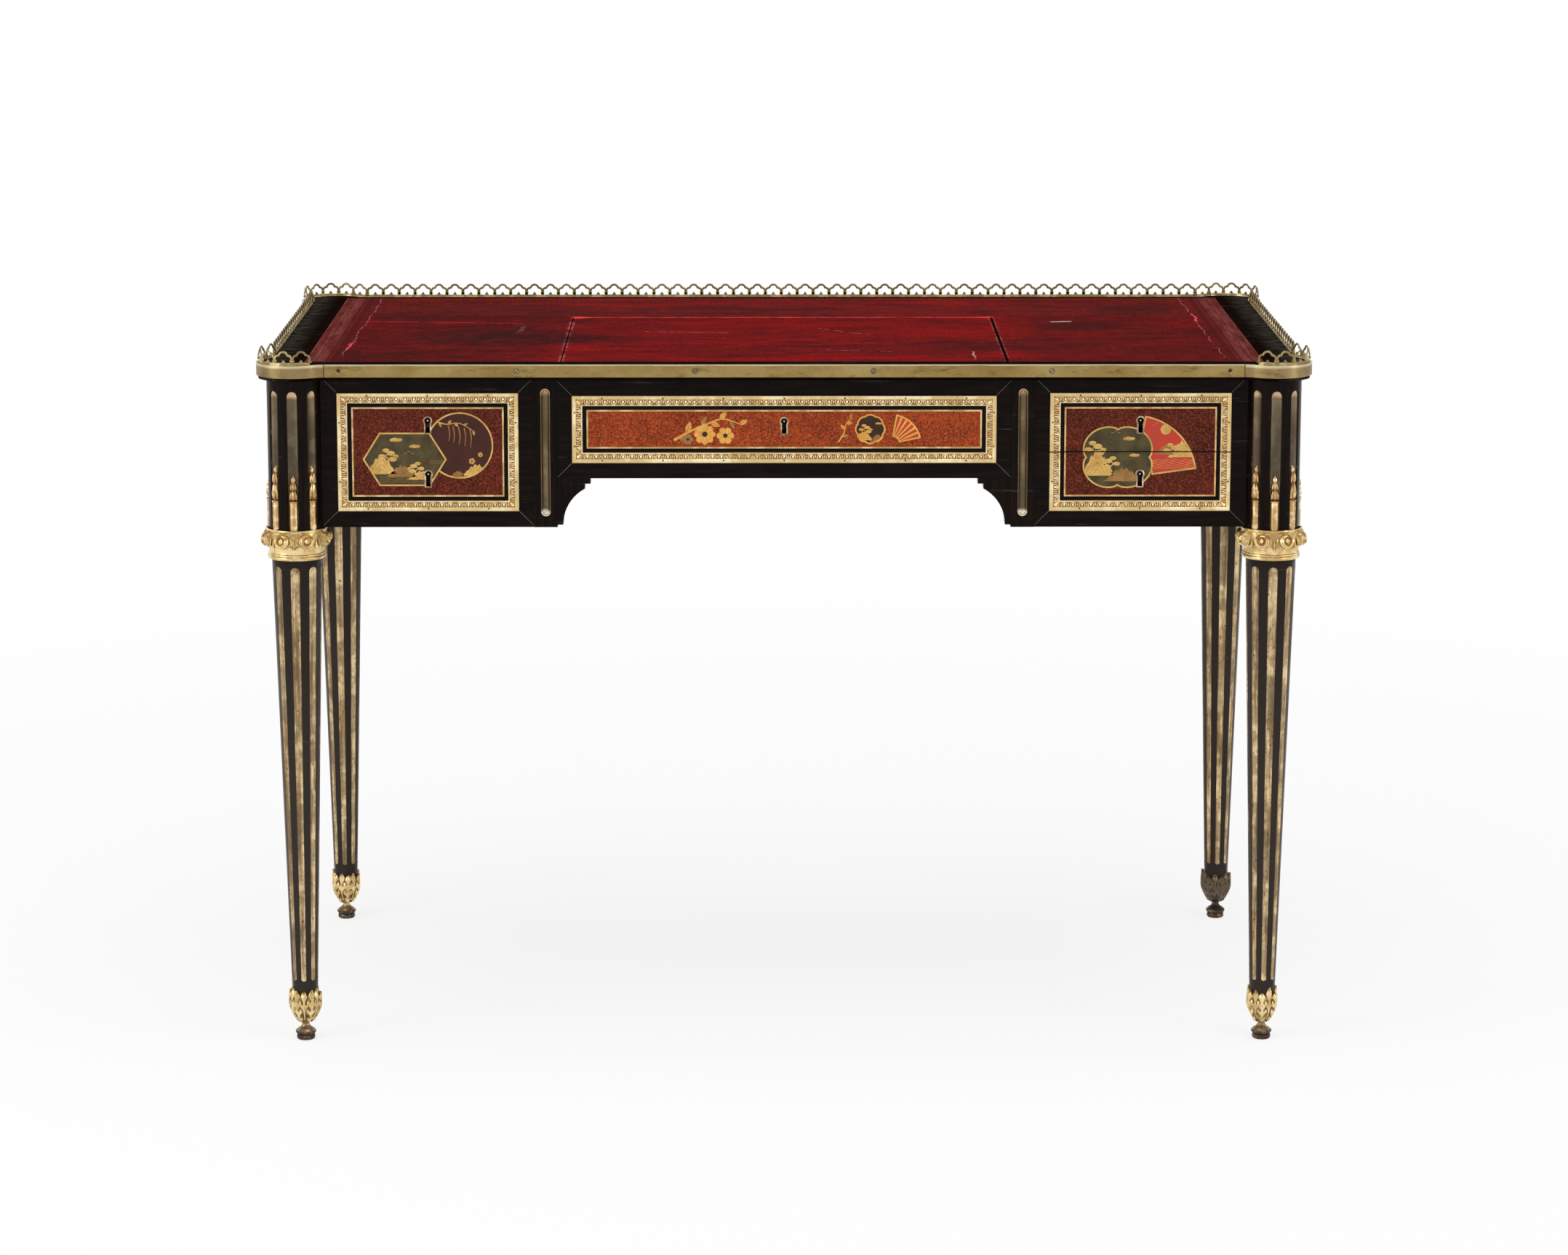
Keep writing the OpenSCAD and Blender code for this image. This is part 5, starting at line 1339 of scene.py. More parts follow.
# %% Faces
SIDE_FACE, CENTRE_FACE = (SIDE_W / MM, SIDE_H / MM), (CENTRE_W / MM, CENTRE_H / MM)
END_FACE = (END_W / MM, SIDE_H / MM)
# A face's corners: left or right of its middle, at its low or its high edge
FACE_CORNERS = ((-1, 0), (1, 0), (1, 1), (-1, 1))
MOUNT_FINISHES = [GILT_PALE, HOLE, FILLET_GOLD, STEEL, MOULD_HOLLOW, FILLET_PALE, RIM_BRASS, PIN_STEEL,
                  MOULD_SHADE, MOULD_STRIP]
# The tints of a mount are places in that list
GILT_T, HOLE_T, FILLET_T, BLIND_T, HOLLOW_T, PALE_T, RIM_T, PIN_T, SHADE_T, STRIP_T = range(10)
MOULD_W, STRIP_W, FILLET_W = 11.5, 4.0, 2.0
PANEL_INSET = MOULD_W + STRIP_W + FILLET_W
MOULD_PROFILE = [(0, 0), (0, 1.9), (0.5, 2.4), (3.4, 2.6), (4.1, 2.1), (4.4, 0.7), (7.0, 0.3), (9.9, 0.6),
                 (10.1, 1.6), (10.5, 1.9), (11.1, 1.6), (11.5, 0)]
FILLET_PROFILE = [(0, 0), (0.15, 0.6), (0.7, 0.8), (1.3, 0.8), (1.85, 0.6), (2.0, 0)]
EGG_PITCH = 9.5
NAIL_PITCH = 64


def face_place(x, y, z, outward):
    """A face's own axes: X to the right as seen from outside, Y up, Z outwards. The origin is the middle of
    its low edge. outward is F, B, L or R."""
    right = {"F": (1, 0), "B": (-1, 0), "L": (0, -1), "R": (0, 1)}[outward]
    out = {"F": (0, -1), "B": (0, 1), "L": (-1, 0), "R": (1, 0)}[outward]
    turn = Matrix(((right[0], 0, out[0], 0), (right[1], 0, out[1], 0), (0, 1, 0, 0), (0, 0, 0, 1)))
    return at(x, y, z) @ turn


MOULD_PARTS = [(MOULD_PROFILE[:6], STRIP_T), (MOULD_PROFILE[5:9], HOLLOW_T), (MOULD_PROFILE[8:], GILT_T)]


def mitred(w, h, profile, inset=0.0):
    points = []
    for u, v in FACE_CORNERS:
        for p, out in profile:
            q = p + inset
            points.append((u * (w / 2 - q), h - q if v else q, out))
    return points, [f[::-1] for f in grid_faces(4, len(profile), wrap_rows=True)]


def egg_unit():
    heap = Heap()
    heap.add(dome(1.45, 2.35, 2.1, 4, 12, 0.85), at(0, 6.9, 0.4))
    angles = [math.pi * k / 8 for k in range(9)]
    bent = [(-2.75 * math.cos(a), 6.4 + 3.2 * math.sin(a), 1.3) for a in angles]
    heap.add(tube([(-2.75, 4.5, 1.3), *bent, (2.75, 4.5, 1.3)], 0.62, 6, squash=1.5))
    heap.add(dome(0.75, 2.6, 1.7, 3, 8, 0.4), at(EGG_PITCH / 2, 7.0, 0.4) @ spin(180))
    # Painted shade: small dark domes stand for the shadows in the chased hollows beside egg and dart
    for x, y in ((-1.85, 6.2), (1.85, 6.2), (-3.7, 8.3), (3.7, 8.3)):
        heap.add(dome(0.55, 0.75, 0.45, 1, 6), at(x, y, 0.45), tint=SHADE_T)
    return heap


EGG = egg_unit()


def moulding_heap(w, h, fillet_tint=FILLET_T):
    heap = Heap()
    for profile, tint in MOULD_PARTS:
        heap.add(mitred(w, h, profile), tint=tint)
    heap.add(mitred(w, h, FILLET_PROFILE, MOULD_W + STRIP_W), tint=fillet_tint)
    sides = ((at(0, 0), w), (at(0, h) @ spin(180), w), (at(-w / 2, h / 2) @ spin(-90), h),
             (at(w / 2, h / 2) @ spin(90), h))
    for side, length in sides:
        run = length - 2 * MOULD_W
        count = max(2, round(run / EGG_PITCH))
        for k in range(count):
            heap.add_heap(EGG, side @ at((k + 0.5) * run / count - run / 2))
        nails = max(2, round(length / NAIL_PITCH))
        for k in range(nails):
            nail = (k + 0.5) * length / nails - length / 2
            heap.add(dome(1.0, 1.0, 0.15, 2, 8), side @ at(nail, 2.9, 2.55), tint=HOLE_T)
        corner = side @ at(-length / 2 + 7.2, 7.2, 0.7) @ spin(-45)
        heap.add(dome(1.8, 3.6, 1.5, 4, 10, 0.5), corner)
        heap.add(dome(0.6, 0.6, 0.3, 2, 8), side @ at(-length / 2 + 5.0, 5.0, 1.4), tint=HOLE_T)
    return heap


# %% [markdown]
# ## Keyhole rims
# Each keyhole has a thin pale rim, round above and square below. It is a flattened bar that follows the
# outline of the hole. The left drawer's lower keyhole is a dummy that balances the two on the right. The
# two right-hand drawers share one frame, which is modelled whole and then cut in two.

# %% Keyhole rims
KEYHOLE_R, KEYHOLE_SLOT, KEYHOLE_HALF = 3.4, 4.8, 8.2
PIN_TOP = 4.8
# Mounts and pictures stop this far short of the cut between the two right-hand drawers
CUT_MARGIN = 0.35
KEYHOLE_STEPS = 14


def keyhole_outline(grow):
    """The hole's outline about the middle of its rim, grown by a margin, from the slot round the top."""
    r = KEYHOLE_R + grow
    top = KEYHOLE_HALF - KEYHOLE_R
    half = KEYHOLE_SLOT / 2 + grow
    open_angle = math.degrees(math.asin(half / r))
    ring = arc(0, top, r, -90 + open_angle, 270 - open_angle, KEYHOLE_STEPS)
    low = -KEYHOLE_HALF - grow
    return [(half, low), (half, low * 0.5), *ring, (-half, low * 0.5), (-half, low)]


def rim_heap():
    heap = Heap()
    for grow, thick in ((0.45, 0.55), (1.25, 0.4)):
        heap.add(tube([(x, y, 0.15) for x, y in keyhole_outline(grow)], thick, 8, closed=True), tint=RIM_T)
    return heap


def split_heap(heap, height, keep_upper, place):
    """Cuts a heap in its face's axes at a height and keeps one side, with the cut closed."""
    mesh = bpy.data.meshes.new("cut")
    mesh.from_pydata([Vector(p) for p in heap.points], [], heap.faces)
    mesh.polygons.foreach_set("material_index", heap.tints)
    work = bmesh.new()
    work.from_mesh(mesh)
    bpy.data.meshes.remove(mesh)
    everything = work.verts[:] + work.edges[:] + work.faces[:]
    away = (0, -1, 0) if keep_upper else (0, 1, 0)
    cut = bmesh.ops.bisect_plane(work, geom=everything, plane_co=(0, height, 0), plane_no=away,
                                 clear_outer=True)
    rims = [e for e in cut["geom_cut"] if isinstance(e, bmesh.types.BMEdge)]
    bmesh.ops.holes_fill(work, edges=rims)
    work.verts.index_update()
    kept = Heap()
    kept.add(([v.co.copy() for v in work.verts], [[v.index for v in f.verts] for f in work.faces]), place)
    kept.tints = [f.material_index for f in work.faces]
    work.free()
    return kept


RIM = rim_heap()
SPLIT_AT = (SPLIT_Z - SIDE_LOW) / MM
GAP = SPLIT_GAP / MM + CUT_MARGIN
side_frame = moulding_heap(*SIDE_FACE)
left_face = face_place(-SIDE_X / MM, -FACE_Y / MM, SIDE_LOW / MM, "F")
right_face = face_place(SIDE_X / MM, -FACE_Y / MM, SIDE_LOW / MM, "F")
centre_face = face_place(0, -FACE_Y / MM, CENTRE_LOW / MM, "F")
drawer_mounts = {name: Heap() for name in ("left", "centre", "upper", "lower")}
drawer_mounts["left"].add_heap(moulding_heap(*SIDE_FACE, PALE_T), left_face)
drawer_mounts["centre"].add_heap(moulding_heap(*CENTRE_FACE, PALE_T), centre_face)
drawer_mounts["upper"].add_heap(split_heap(side_frame, SPLIT_AT + GAP, True, right_face))
drawer_mounts["lower"].add_heap(split_heap(side_frame, SPLIT_AT - GAP, False, right_face))
KEYS = {"left": [(-SIDE_X, UPPER_KEY), (-SIDE_X, LOWER_KEY)], "centre": [(0, CENTRE_KEY)],
        "upper": [(SIDE_X, UPPER_KEY)], "lower": [(SIDE_X, LOWER_KEY)]}
for drawer, keys in KEYS.items():
    for x, z in keys:
        hole = face_place(x / MM, -FACE_Y / MM, z / MM, "F")
        drawer_mounts[drawer].add_heap(RIM, hole)
        drawer_mounts[drawer].add(dome(1.25, 1.25, 0.9, 3, 14), hole @ at(0, PIN_TOP, -1.2), tint=PIN_T)
blind = face_place(-SIDE_X / MM, -FACE_Y / MM, LOWER_KEY / MM, "F")
blind_pin = lathe([(0, -9), (1, -9), (1, -1.4), (0.6, -1), (0, -1)], 12)
drawer_mounts["left"].add(blind_pin, blind @ at(0, PIN_TOP), tint=BLIND_T)
for drawer, heap in drawer_mounts.items():
    make_piece(f"{drawer}_frame_and_rims", heap, MOUNT_FINISHES, f"{drawer}_drawer",
               [f"{drawer}_drawer_mounts"])

fixed = Heap()
end_frame = moulding_heap(*END_FACE)
FIXED_FACES = [
    (end_frame, face_place(-FACE_X / MM, 0, SIDE_LOW / MM, "L")),
    (end_frame, face_place(FACE_X / MM, 0, SIDE_LOW / MM, "R")),
    (side_frame, face_place(-SIDE_X / MM, FACE_Y / MM, SIDE_LOW / MM, "B")),
    (side_frame, face_place(SIDE_X / MM, FACE_Y / MM, SIDE_LOW / MM, "B")),
    (moulding_heap(*CENTRE_FACE), face_place(0, FACE_Y / MM, CENTRE_LOW / MM, "B"))]
for heap, place in FIXED_FACES:
    fixed.add_heap(heap, place)
make_piece("fixed_frames", fixed, MOUNT_FINISHES, "carcass", ["fixed_mouldings"])

# %% [markdown]
# ## Screws in the band
# The brass band is held by slotted screws whose slots stop at any angle. The two outermost ones at the
# front were lost long ago, and only countersunk holes are left there. The dark slots, the dark ring
# round each head and the dark floor of each empty hole are painted shade.

# %% Screws
SCREW_R, SCREW_PITCH, SCREW_END, BAND_MIDDLE = 2.75, 189.6, 15.4, 743.25


def screw_heap(slot_angle):
    heap = Heap()
    head_r = SCREW_R - 0.12
    heap.add(lathe([(0, 0.34), (1.6, 0.30), (2.45, 0.12), (head_r, -0.25), (head_r, -1.5)], 24))
    # The dark ring round the head and the dark block over the slot are painted shade
    heap.add(lathe([(SCREW_R + 0.35, 0.03), (SCREW_R - 0.35, 0.10), (SCREW_R - 0.35, -0.4)], 24), tint=1)
    slot = [(x, y, z) for reach, z in ((2.3, 0.2), (1.7, 0.39))
            for x, y in ((-reach, -0.45), (reach, -0.45), (reach, 0.45), (-reach, 0.45))]
    heap.add((slot, BLOCK_SIDES), spin(slot_angle), tint=1)
    return heap


def empty_hole():
    heap = Heap()
    heap.add(lathe([(SCREW_R + 0.1, 0.03), (1.8, -1.1), (1.7, -6)], 24))
    # A dark disc inside the hole is painted shade
    heap.add(lathe([(1.75, -2.0), (0, -2.0)], 24), tint=1)
    return heap


def screw_row(half):
    reach = half - SCREW_END
    count = round(2 * reach / SCREW_PITCH)
    return [(2 * k / count - 1) * reach for k in range(count + 1)]


dice = random.Random(4)
screws = Heap()
front_row = screw_row(LEG_X / MM - EAR_TANGENT)
side_row = screw_row(LEG_Y / MM - EAR_TANGENT)
for outward in "FB":
    y = (LEG_Y / MM + EDGE_OUT) * (-1 if outward == "F" else 1)
    for x in front_row:
        lost = outward == "F" and x in (front_row[0], front_row[-1])
        made = empty_hole() if lost else screw_heap(dice.uniform(0, 180))
        screws.add_heap(made, face_place(x, y, BAND_MIDDLE, outward))
for outward in "LR":
    x = (LEG_X / MM + EDGE_OUT) * (-1 if outward == "L" else 1)
    for y in side_row:
        screws.add_heap(screw_heap(dice.uniform(0, 180)), face_place(x, y, BAND_MIDDLE, outward))
make_piece("band_screws", screws, [BRASS, HOLE], "carcass", ["edge_screws"])

# %% [markdown]
# ## Mitre lines
# The black frames round the drawers are mitred, and the joints have opened to pale hairlines that run
# from the corner of each moulding to the corner of its frame. Each is a thin strip just above the wood.

# %% Mitre lines
MITRE_W, MITRE_OUT = 0.34, 0.06
SIDE_RUN, CENTRE_RUN = 15.9, 15.8


def mitre_heap(w, h, run):
    """Four strips that run out diagonally from a face's corners."""
    heap = Heap()
    half, far = MITRE_W / 2, run * math.sqrt(2)
    flat = ((0.3, -half), (far, -half * 0.6), (far, half * 0.6), (0.3, half))
    strip = [(x, y, z) for z in (0, MITRE_OUT) for x, y in flat]
    for u, v in FACE_CORNERS:
        heading = math.degrees(math.atan2(1 if v else -1, u))
        heap.add((strip, BLOCK_SIDES), at(u * w / 2, h * v, 0) @ spin(heading))
    return heap


mitres = Heap()
side_mitre = mitre_heap(*SIDE_FACE, SIDE_RUN)
centre_mitre = mitre_heap(*CENTRE_FACE, CENTRE_RUN)
end_mitre = mitre_heap(*END_FACE, SIDE_RUN)
for place in (left_face, right_face, FIXED_FACES[2][1], FIXED_FACES[3][1]):
    mitres.add_heap(side_mitre, place)
for place in (centre_face, FIXED_FACES[4][1]):
    mitres.add_heap(centre_mitre, place)
for place in (FIXED_FACES[0][1], FIXED_FACES[1][1]):
    mitres.add_heap(end_mitre, place)
make_piece("mitre_lines", mitres, [MITRE], "carcass")

# %% [markdown]
# ## Flat painted shapes
# The pictures on the lacquer are made of thin sheets, each cut from an outline. A sheet can be kept
# inside other outlines, so that a hill ends at the edge of its picture, and outside others, so that
# nothing covers a keyhole. The outlines are cut against each other by a constrained triangulation:
# every triangle lies wholly inside or outside each outline, so its middle says whether it stays.

# %% Sheets
def holds(outline, point):
    x, y = point
    hit = False
    for (x1, y1), (x2, y2) in zip(outline, outline[1:] + outline[:1]):
        if (y1 > y) != (y2 > y) and x < (x2 - x1) * (y - y1) / (y2 - y1) + x1:
            hit = not hit
    return hit


def sheet(outline, high, within, without):
    loops = [outline, *within, *without]
    spots, edges = [], []
    for loop in loops:
        start = len(spots)
        spots += [Vector(p) for p in loop]
        edges += [(start + k, start + (k + 1) % len(loop)) for k in range(len(loop))]
    flat, _, triangles, *_ = delaunay_2d_cdt(spots, edges, [], 0, 1e-4)
    kept = []
    for a, b, c in triangles:
        middle = (flat[a] + flat[b] + flat[c]) / 3
        if not holds(outline, middle) or any(holds(loop, middle) for loop in without):
            continue
        if all(holds(loop, middle) for loop in within):
            area = (flat[b] - flat[a]).cross(flat[c] - flat[a])
            kept.append((a, b, c) if area > 0 else (a, c, b))
    directed = {(t[k], t[(k + 1) % 3]) for t in kept for k in range(3)}
    border = [(a, b) for a, b in directed if (b, a) not in directed]
    count = len(flat)
    points = [(p.x, p.y, high) for p in flat] + [(p.x, p.y, 0) for p in flat]
    return points, kept + [(a + count, b + count, b, a) for a, b in sorted(border)]


def polar(cx, cy, r, lobes=0, depth=0.0, wide=1.0, turn=0.0, steps=72):
    """A round outline whose radius swells and shrinks once for each lobe."""
    outline = []
    for k in range(steps):
        a = 2 * math.pi * k / steps
        reach = r * (1 - depth + depth * abs(math.cos(lobes * a / 2)) ** 0.7) if lobes else r
        b = a + math.radians(turn)
        outline.append((cx + reach * math.cos(b) * wide, cy + reach * math.sin(b)))
    return outline


def curve(points, steps=8):
    """A smooth line through a few points."""
    ends = [points[0], *points, points[-1]]
    line = []
    for p, q, r, t in zip(ends, ends[1:], ends[2:], ends[3:]):
        for k in range(steps):
            u = k / steps
            line.append(tuple(0.5 * (2 * b + (c - a) * u + (2 * a - 5 * b + 4 * c - d) * u * u
                                     + (3 * b - a - 3 * c + d) * u ** 3) for a, b, c, d in zip(p, q, r, t)))
    return line + [tuple(points[-1])]


def stroke(line, start_w, end_w):
    """The outline of a brush stroke that narrows or widens along a line."""
    left, right = [], []
    for k, point in enumerate(line):
        before, after = Vector(line[max(k - 1, 0)]), Vector(line[min(k + 1, len(line) - 1)])
        side = (after - before).orthogonal().normalized()
        half = (start_w + (end_w - start_w) * k / (len(line) - 1)) / 2
        left.append(tuple(Vector(point) + side * half))
        right.append(tuple(Vector(point) - side * half))
    return left + right[::-1]


def shrunk(outline, width):
    """An outline moved inwards by a width, for outlines that run anticlockwise."""
    moved = []
    for k, point in enumerate(outline):
        before = (Vector(point) - Vector(outline[k - 1])).normalized()
        after = (Vector(outline[(k + 1) % len(outline)]) - Vector(point)).normalized()
        inward = before.orthogonal() + after.orthogonal()
        moved.append(tuple(Vector(point) + inward * (width / max(1 + before.dot(after), 0.3))))
    return moved


# %% [markdown]
# ## Pictures on the lacquer
# The pictures are new designs in the old manner: framed scenes of hills, pines, clouds and water, and
# loose sprays of leaves and blossom. A panel knows its own edge and its keyholes, and clips each sheet to
# them. The right-hand panel is drawn twice, once for each of the two drawers that share it.

# %% Panels and motifs
PAINTS = [OLIVE, BROWN, VERMILION, GOLD_PAINT, OLD_GOLD, DARK_PAINT]
OLIVE_P, BROWN_P, RED_P, GOLD_P, OLD_P, DARK_P = range(6)
SCENE_HIGH, LINE_HIGH = 0.10, 0.34


class Panel:
    def __init__(self, w, h, keys=(), low=None, high=None):
        low = -h / 2 if low is None else low
        high = h / 2 if high is None else high
        self.edge = [(-w / 2, low), (w / 2, low), (w / 2, high), (-w / 2, high)]
        self.holes = [[(x + kx, y + ky) for x, y in keyhole_outline(0.5)] for kx, ky in keys]
        self.heap = Heap()
        self.frame, self.cover = [], []

    def paint(self, outline, paint, high):
        made = sheet(outline, high, [self.edge, *self.frame], [*self.holes, *self.cover])
        if made[1]:
            self.heap.add(made, tint=paint)

    def scene(self, outline, ground, cover=()):
        """Starts a framed picture; what follows is clipped to it until close is called."""
        self.frame, self.cover = [], list(cover)
        inner = shrunk(outline, 1.7)
        self.paint(outline, ground, SCENE_HIGH)
        self.cover = [inner, *cover]
        self.paint(outline, GOLD_P, LINE_HIGH)
        self.frame, self.cover = [inner], list(cover)

    def close(self):
        self.frame, self.cover = [], []

    def cloud(self, x, y, size):
        for k, (dx, r) in enumerate(((-1.5, 0.55), (-0.5, 0.8), (0.6, 0.7), (1.5, 0.5))):
            puff = polar(x + dx * size, y + 0.1 * size * (k % 2), r * size, 5, 0.18, 1.5)
            self.paint(puff, GOLD_P, 0.17 + 0.01 * k)
        base = [(x + dx * size, y + dy * size) for dx, dy in ((-2.4, -0.5), (0, -0.35), (2.2, -0.6))]
        self.paint(stroke(curve(base), 0.3, 0.3), OLD_P, 0.22)

    def hill(self, x, y, w, h, paint=GOLD_P):
        ridge = [(x - w / 2 + w * k / 24, y + h * math.sin(math.pi * k / 24) ** 1.4
                  * (1 + 0.12 * math.sin(k * 1.9))) for k in range(25)]
        self.paint(ridge[::-1], paint, 0.15)
        for k in range(1, 4):
            share = 1 - k * 0.24
            inner = [(x + (px - x) * share, y + (py - y) * share) for px, py in ridge[3:-3]]
            self.paint(stroke(inner, 0.35, 0.35), OLD_P, 0.19)

    def pine(self, x, y, size, lean=1):
        bends = ((0, 0), (2, 5), (-1, 9), (3, 13))
        trunk = curve([(x + dx * lean * size, y + dy * size) for dx, dy in bends])
        self.paint(stroke(trunk, 1.5 * size, 0.5 * size), GOLD_P, 0.20)
        for dx, dy, r in ((6, 6, 2.6), (-5, 9, 2.3), (4, 12, 2.6), (-1, 15, 2.2), (9, 9, 1.8)):
            px, py = x + dx * lean * size, y + dy * size
            self.paint(polar(px, py, r * size, 9, 0.22, 1.7), GOLD_P, 0.24)
            half = 2.6 * r * size * 0.5
            self.paint(stroke([(px - half, py - 0.5), (px + half, py - 0.3)], 0.3, 0.3), OLD_P, 0.27)

    def water(self, x, y, w, rows, paint=OLD_P):
        for row in range(rows):
            level = y - row * 2.2
            line = [(x - w / 2 + w * k / 40, level + 0.5 * math.sin(k * 0.9 + row)) for k in range(41)]
            self.paint(stroke(line, 0.35, 0.35), paint, 0.16)

    def leaf(self, x, y, length, turn, paint):
        a = math.radians(turn)
        along, side = Vector((math.cos(a), math.sin(a))), Vector((-math.sin(a), math.cos(a)))
        edge = []
        for k in range(25):
            t = k / 24
            half = 0.24 * length * math.sin(math.pi * t ** 0.8) * (1 + 0.10 * math.sin(t * 40))
            edge.append((t, half))
        loop = [Vector((x, y)) + along * (t * length) + side * half for t, half in edge]
        loop += [Vector((x, y)) + along * (t * length) - side * half for t, half in edge[-2:0:-1]]
        self.paint([tuple(p) for p in loop][::-1], paint, 0.20)
        rib = [tuple(Vector((x, y)) + along * (t * length * 0.95)) for t in (0, 0.5, 1)]
        self.paint(stroke(rib, 0.4, 0.2), DARK_P if paint == GOLD_P else GOLD_P, 0.23)

    def blossom(self, x, y, r, petals=5, paint=GOLD_P):
        self.paint(polar(x, y, r, petals, 0.26), paint, 0.24)
        self.paint(polar(x, y, r * 0.26, steps=14), DARK_P, 0.28)
        for k in range(petals):
            a = 2 * math.pi * (k + 0.5) / petals
            tip = (x + r * 0.74 * math.cos(a), y + r * 0.74 * math.sin(a))
            near = (x + r * 0.3 * math.cos(a), y + r * 0.3 * math.sin(a))
            self.paint(stroke([near, tip], 0.3, 0.15), DARK_P, 0.27)

    def spray(self, points, leaves, size):
        line = curve(points)
        self.paint(stroke(line, 1.3 * size, 0.4 * size), GOLD_P, 0.22)
        for k in range(leaves):
            n = int((k + 1) * (len(line) - 2) / leaves)
            (x, y), (x2, y2) = line[n], line[n + 1]
            heading = math.degrees(math.atan2(y2 - y, x2 - x))
            side = 1 if k % 2 else -1
            self.leaf(x, y, (6.2 - 0.25 * k) * size, heading + side * 46, GOLD_P if k % 3 else OLD_P)

    def birds(self, x, y, count):
        for k in range(count):
            bx, by = x + k * 3.6, y + (k % 2) * 2.2
            wings = ((-1.6, 0.6), (-0.5, 0.7), (0, 0), (0.5, 0.7), (1.6, 0.5))
            line = curve([(bx + dx, by + dy) for dx, dy in wings], 3)
            self.paint(stroke(line, 0.25, 0.25), GOLD_P, 0.18)


# %% [markdown]
# ## What each face shows
# Each drawer's picture is a short list of motifs. On the left, a long hexagon with a pine shore lies over
# a disc with a hanging bough. On the right, a four-lobed scene lies over a red fan with water. The wide
# middle panel has a spray of large blossoms on one side, and a dark medallion beside a fan on the other.

# %% Pictures
PANEL_W, PANEL_H = [size - 2 * PANEL_INSET for size in SIDE_FACE]
WIDE_W, WIDE_H = [size - 2 * PANEL_INSET for size in CENTRE_FACE]
KEY_RISE = (UPPER_KEY - LOWER_KEY) / MM / 2
SIDE_KEYS = [(0, KEY_RISE), (0, -KEY_RISE)]


def left_picture(panel):
    hexagon = [(-70, -8), (-52, -37), (2, -37), (20, -8), (2, 21), (-52, 21)]
    disc = polar(34, 7, 36, steps=90)
    panel.scene(disc, BROWN_P, [hexagon])
    panel.spray([(6, 34), (20, 30), (34, 31), (50, 22)], 5, 1.0)
    for k, x in enumerate((22, 27, 33, 39, 45)):
        frond = curve([(x, 29 - k), (x + 1.5, 20 - k), (x + 0.5, 12 - 2 * k)])
        panel.paint(stroke(frond, 1.5, 0.5), OLD_P, 0.2)
    panel.hill(52, -26, 34, 12)
    panel.hill(32, -29, 22, 8, OLD_P)
    panel.blossom(47, -10, 3.4)
    panel.blossom(56, -3, 2.6)
    panel.close()
    panel.scene(hexagon, OLIVE_P)
    panel.cloud(-34, 13, 3.0)
    panel.cloud(-14, 6, 2.6)
    panel.hill(-50, -24, 34, 20)
    panel.hill(-28, -27, 34, 12, OLD_P)
    panel.hill(-8, -30, 30, 9)
    panel.pine(-44, -14, 1.05)
    panel.pine(-12, -26, 0.9, -1)
    panel.water(-22, -28, 60, 3)
    panel.water(8, -10, 14, 2)
    panel.birds(-24, -2, 3)
    panel.close()


def right_picture(panel):
    lobed = polar(-24, -6, 37, 4, 0.16, 1.12, 45, 96)
    fan = arc(-7, -28, 68, 8, 80, 24) + arc(-7, -28, 20, 80, 8, 8)
    panel.scene(fan, RED_P, [lobed])
    panel.paint(polar(27, 24, 5.5, steps=30), GOLD_P, 0.16)
    panel.hill(46, -6, 34, 17)
    panel.hill(28, -3, 26, 10, OLD_P)
    panel.pine(33, -7, 0.95)
    panel.water(34, -9, 56, 5, GOLD_P)
    panel.birds(14, 28, 2)
    panel.close()
    panel.scene(lobed, OLIVE_P)
    panel.hill(-46, -26, 36, 26)
    panel.hill(-18, -32, 44, 14, OLD_P)
    panel.pine(-50, -8, 1.15)
    panel.pine(-30, -22, 1.0, -1)
    panel.cloud(-12, 14, 2.8)
    panel.cloud(-6, -4, 2.4)
    panel.birds(-30, 20, 3)
    panel.water(-6, -30, 30, 2)
    panel.close()


def wide_picture(panel):
    panel.spray([(-118, -12), (-102, -3), (-86, 4), (-66, 11), (-46, 5)], 8, 2.2)
    panel.blossom(-85, -5.5, 11.5, 8)
    panel.blossom(-63, -7, 9.4, 6)
    panel.blossom(-103, -11, 5.8, 5, OLD_P)
    medallion = polar(92, 0, 16.4, 8, 0.07, steps=96)
    hinge_x, hinge_y = 114, -16.5
    fan = arc(hinge_x, hinge_y, 33, 12, 80, 20) + arc(hinge_x, hinge_y, 9, 80, 12, 8)
    panel.scene(fan, RED_P, [medallion])
    for turn in (24, 35, 46, 57, 68):
        a = math.radians(turn)
        rib = [(hinge_x + r * math.cos(a), hinge_y + r * math.sin(a)) for r in (9, 33)]
        panel.paint(stroke(rib, 0.9, 2.6), GOLD_P, 0.17)
    panel.close()
    panel.scene(medallion, DARK_P)
    panel.hill(85, -12, 22, 9)
    panel.hill(100, -14, 18, 8, OLD_P)
    panel.pine(86, -7, 0.72)
    panel.cloud(101, 6, 1.5)
    panel.water(93, -10, 26, 2)
    panel.close()
    panel.spray([(58, -14), (64, -4), (66, 5), (72, 12)], 4, 1.2)


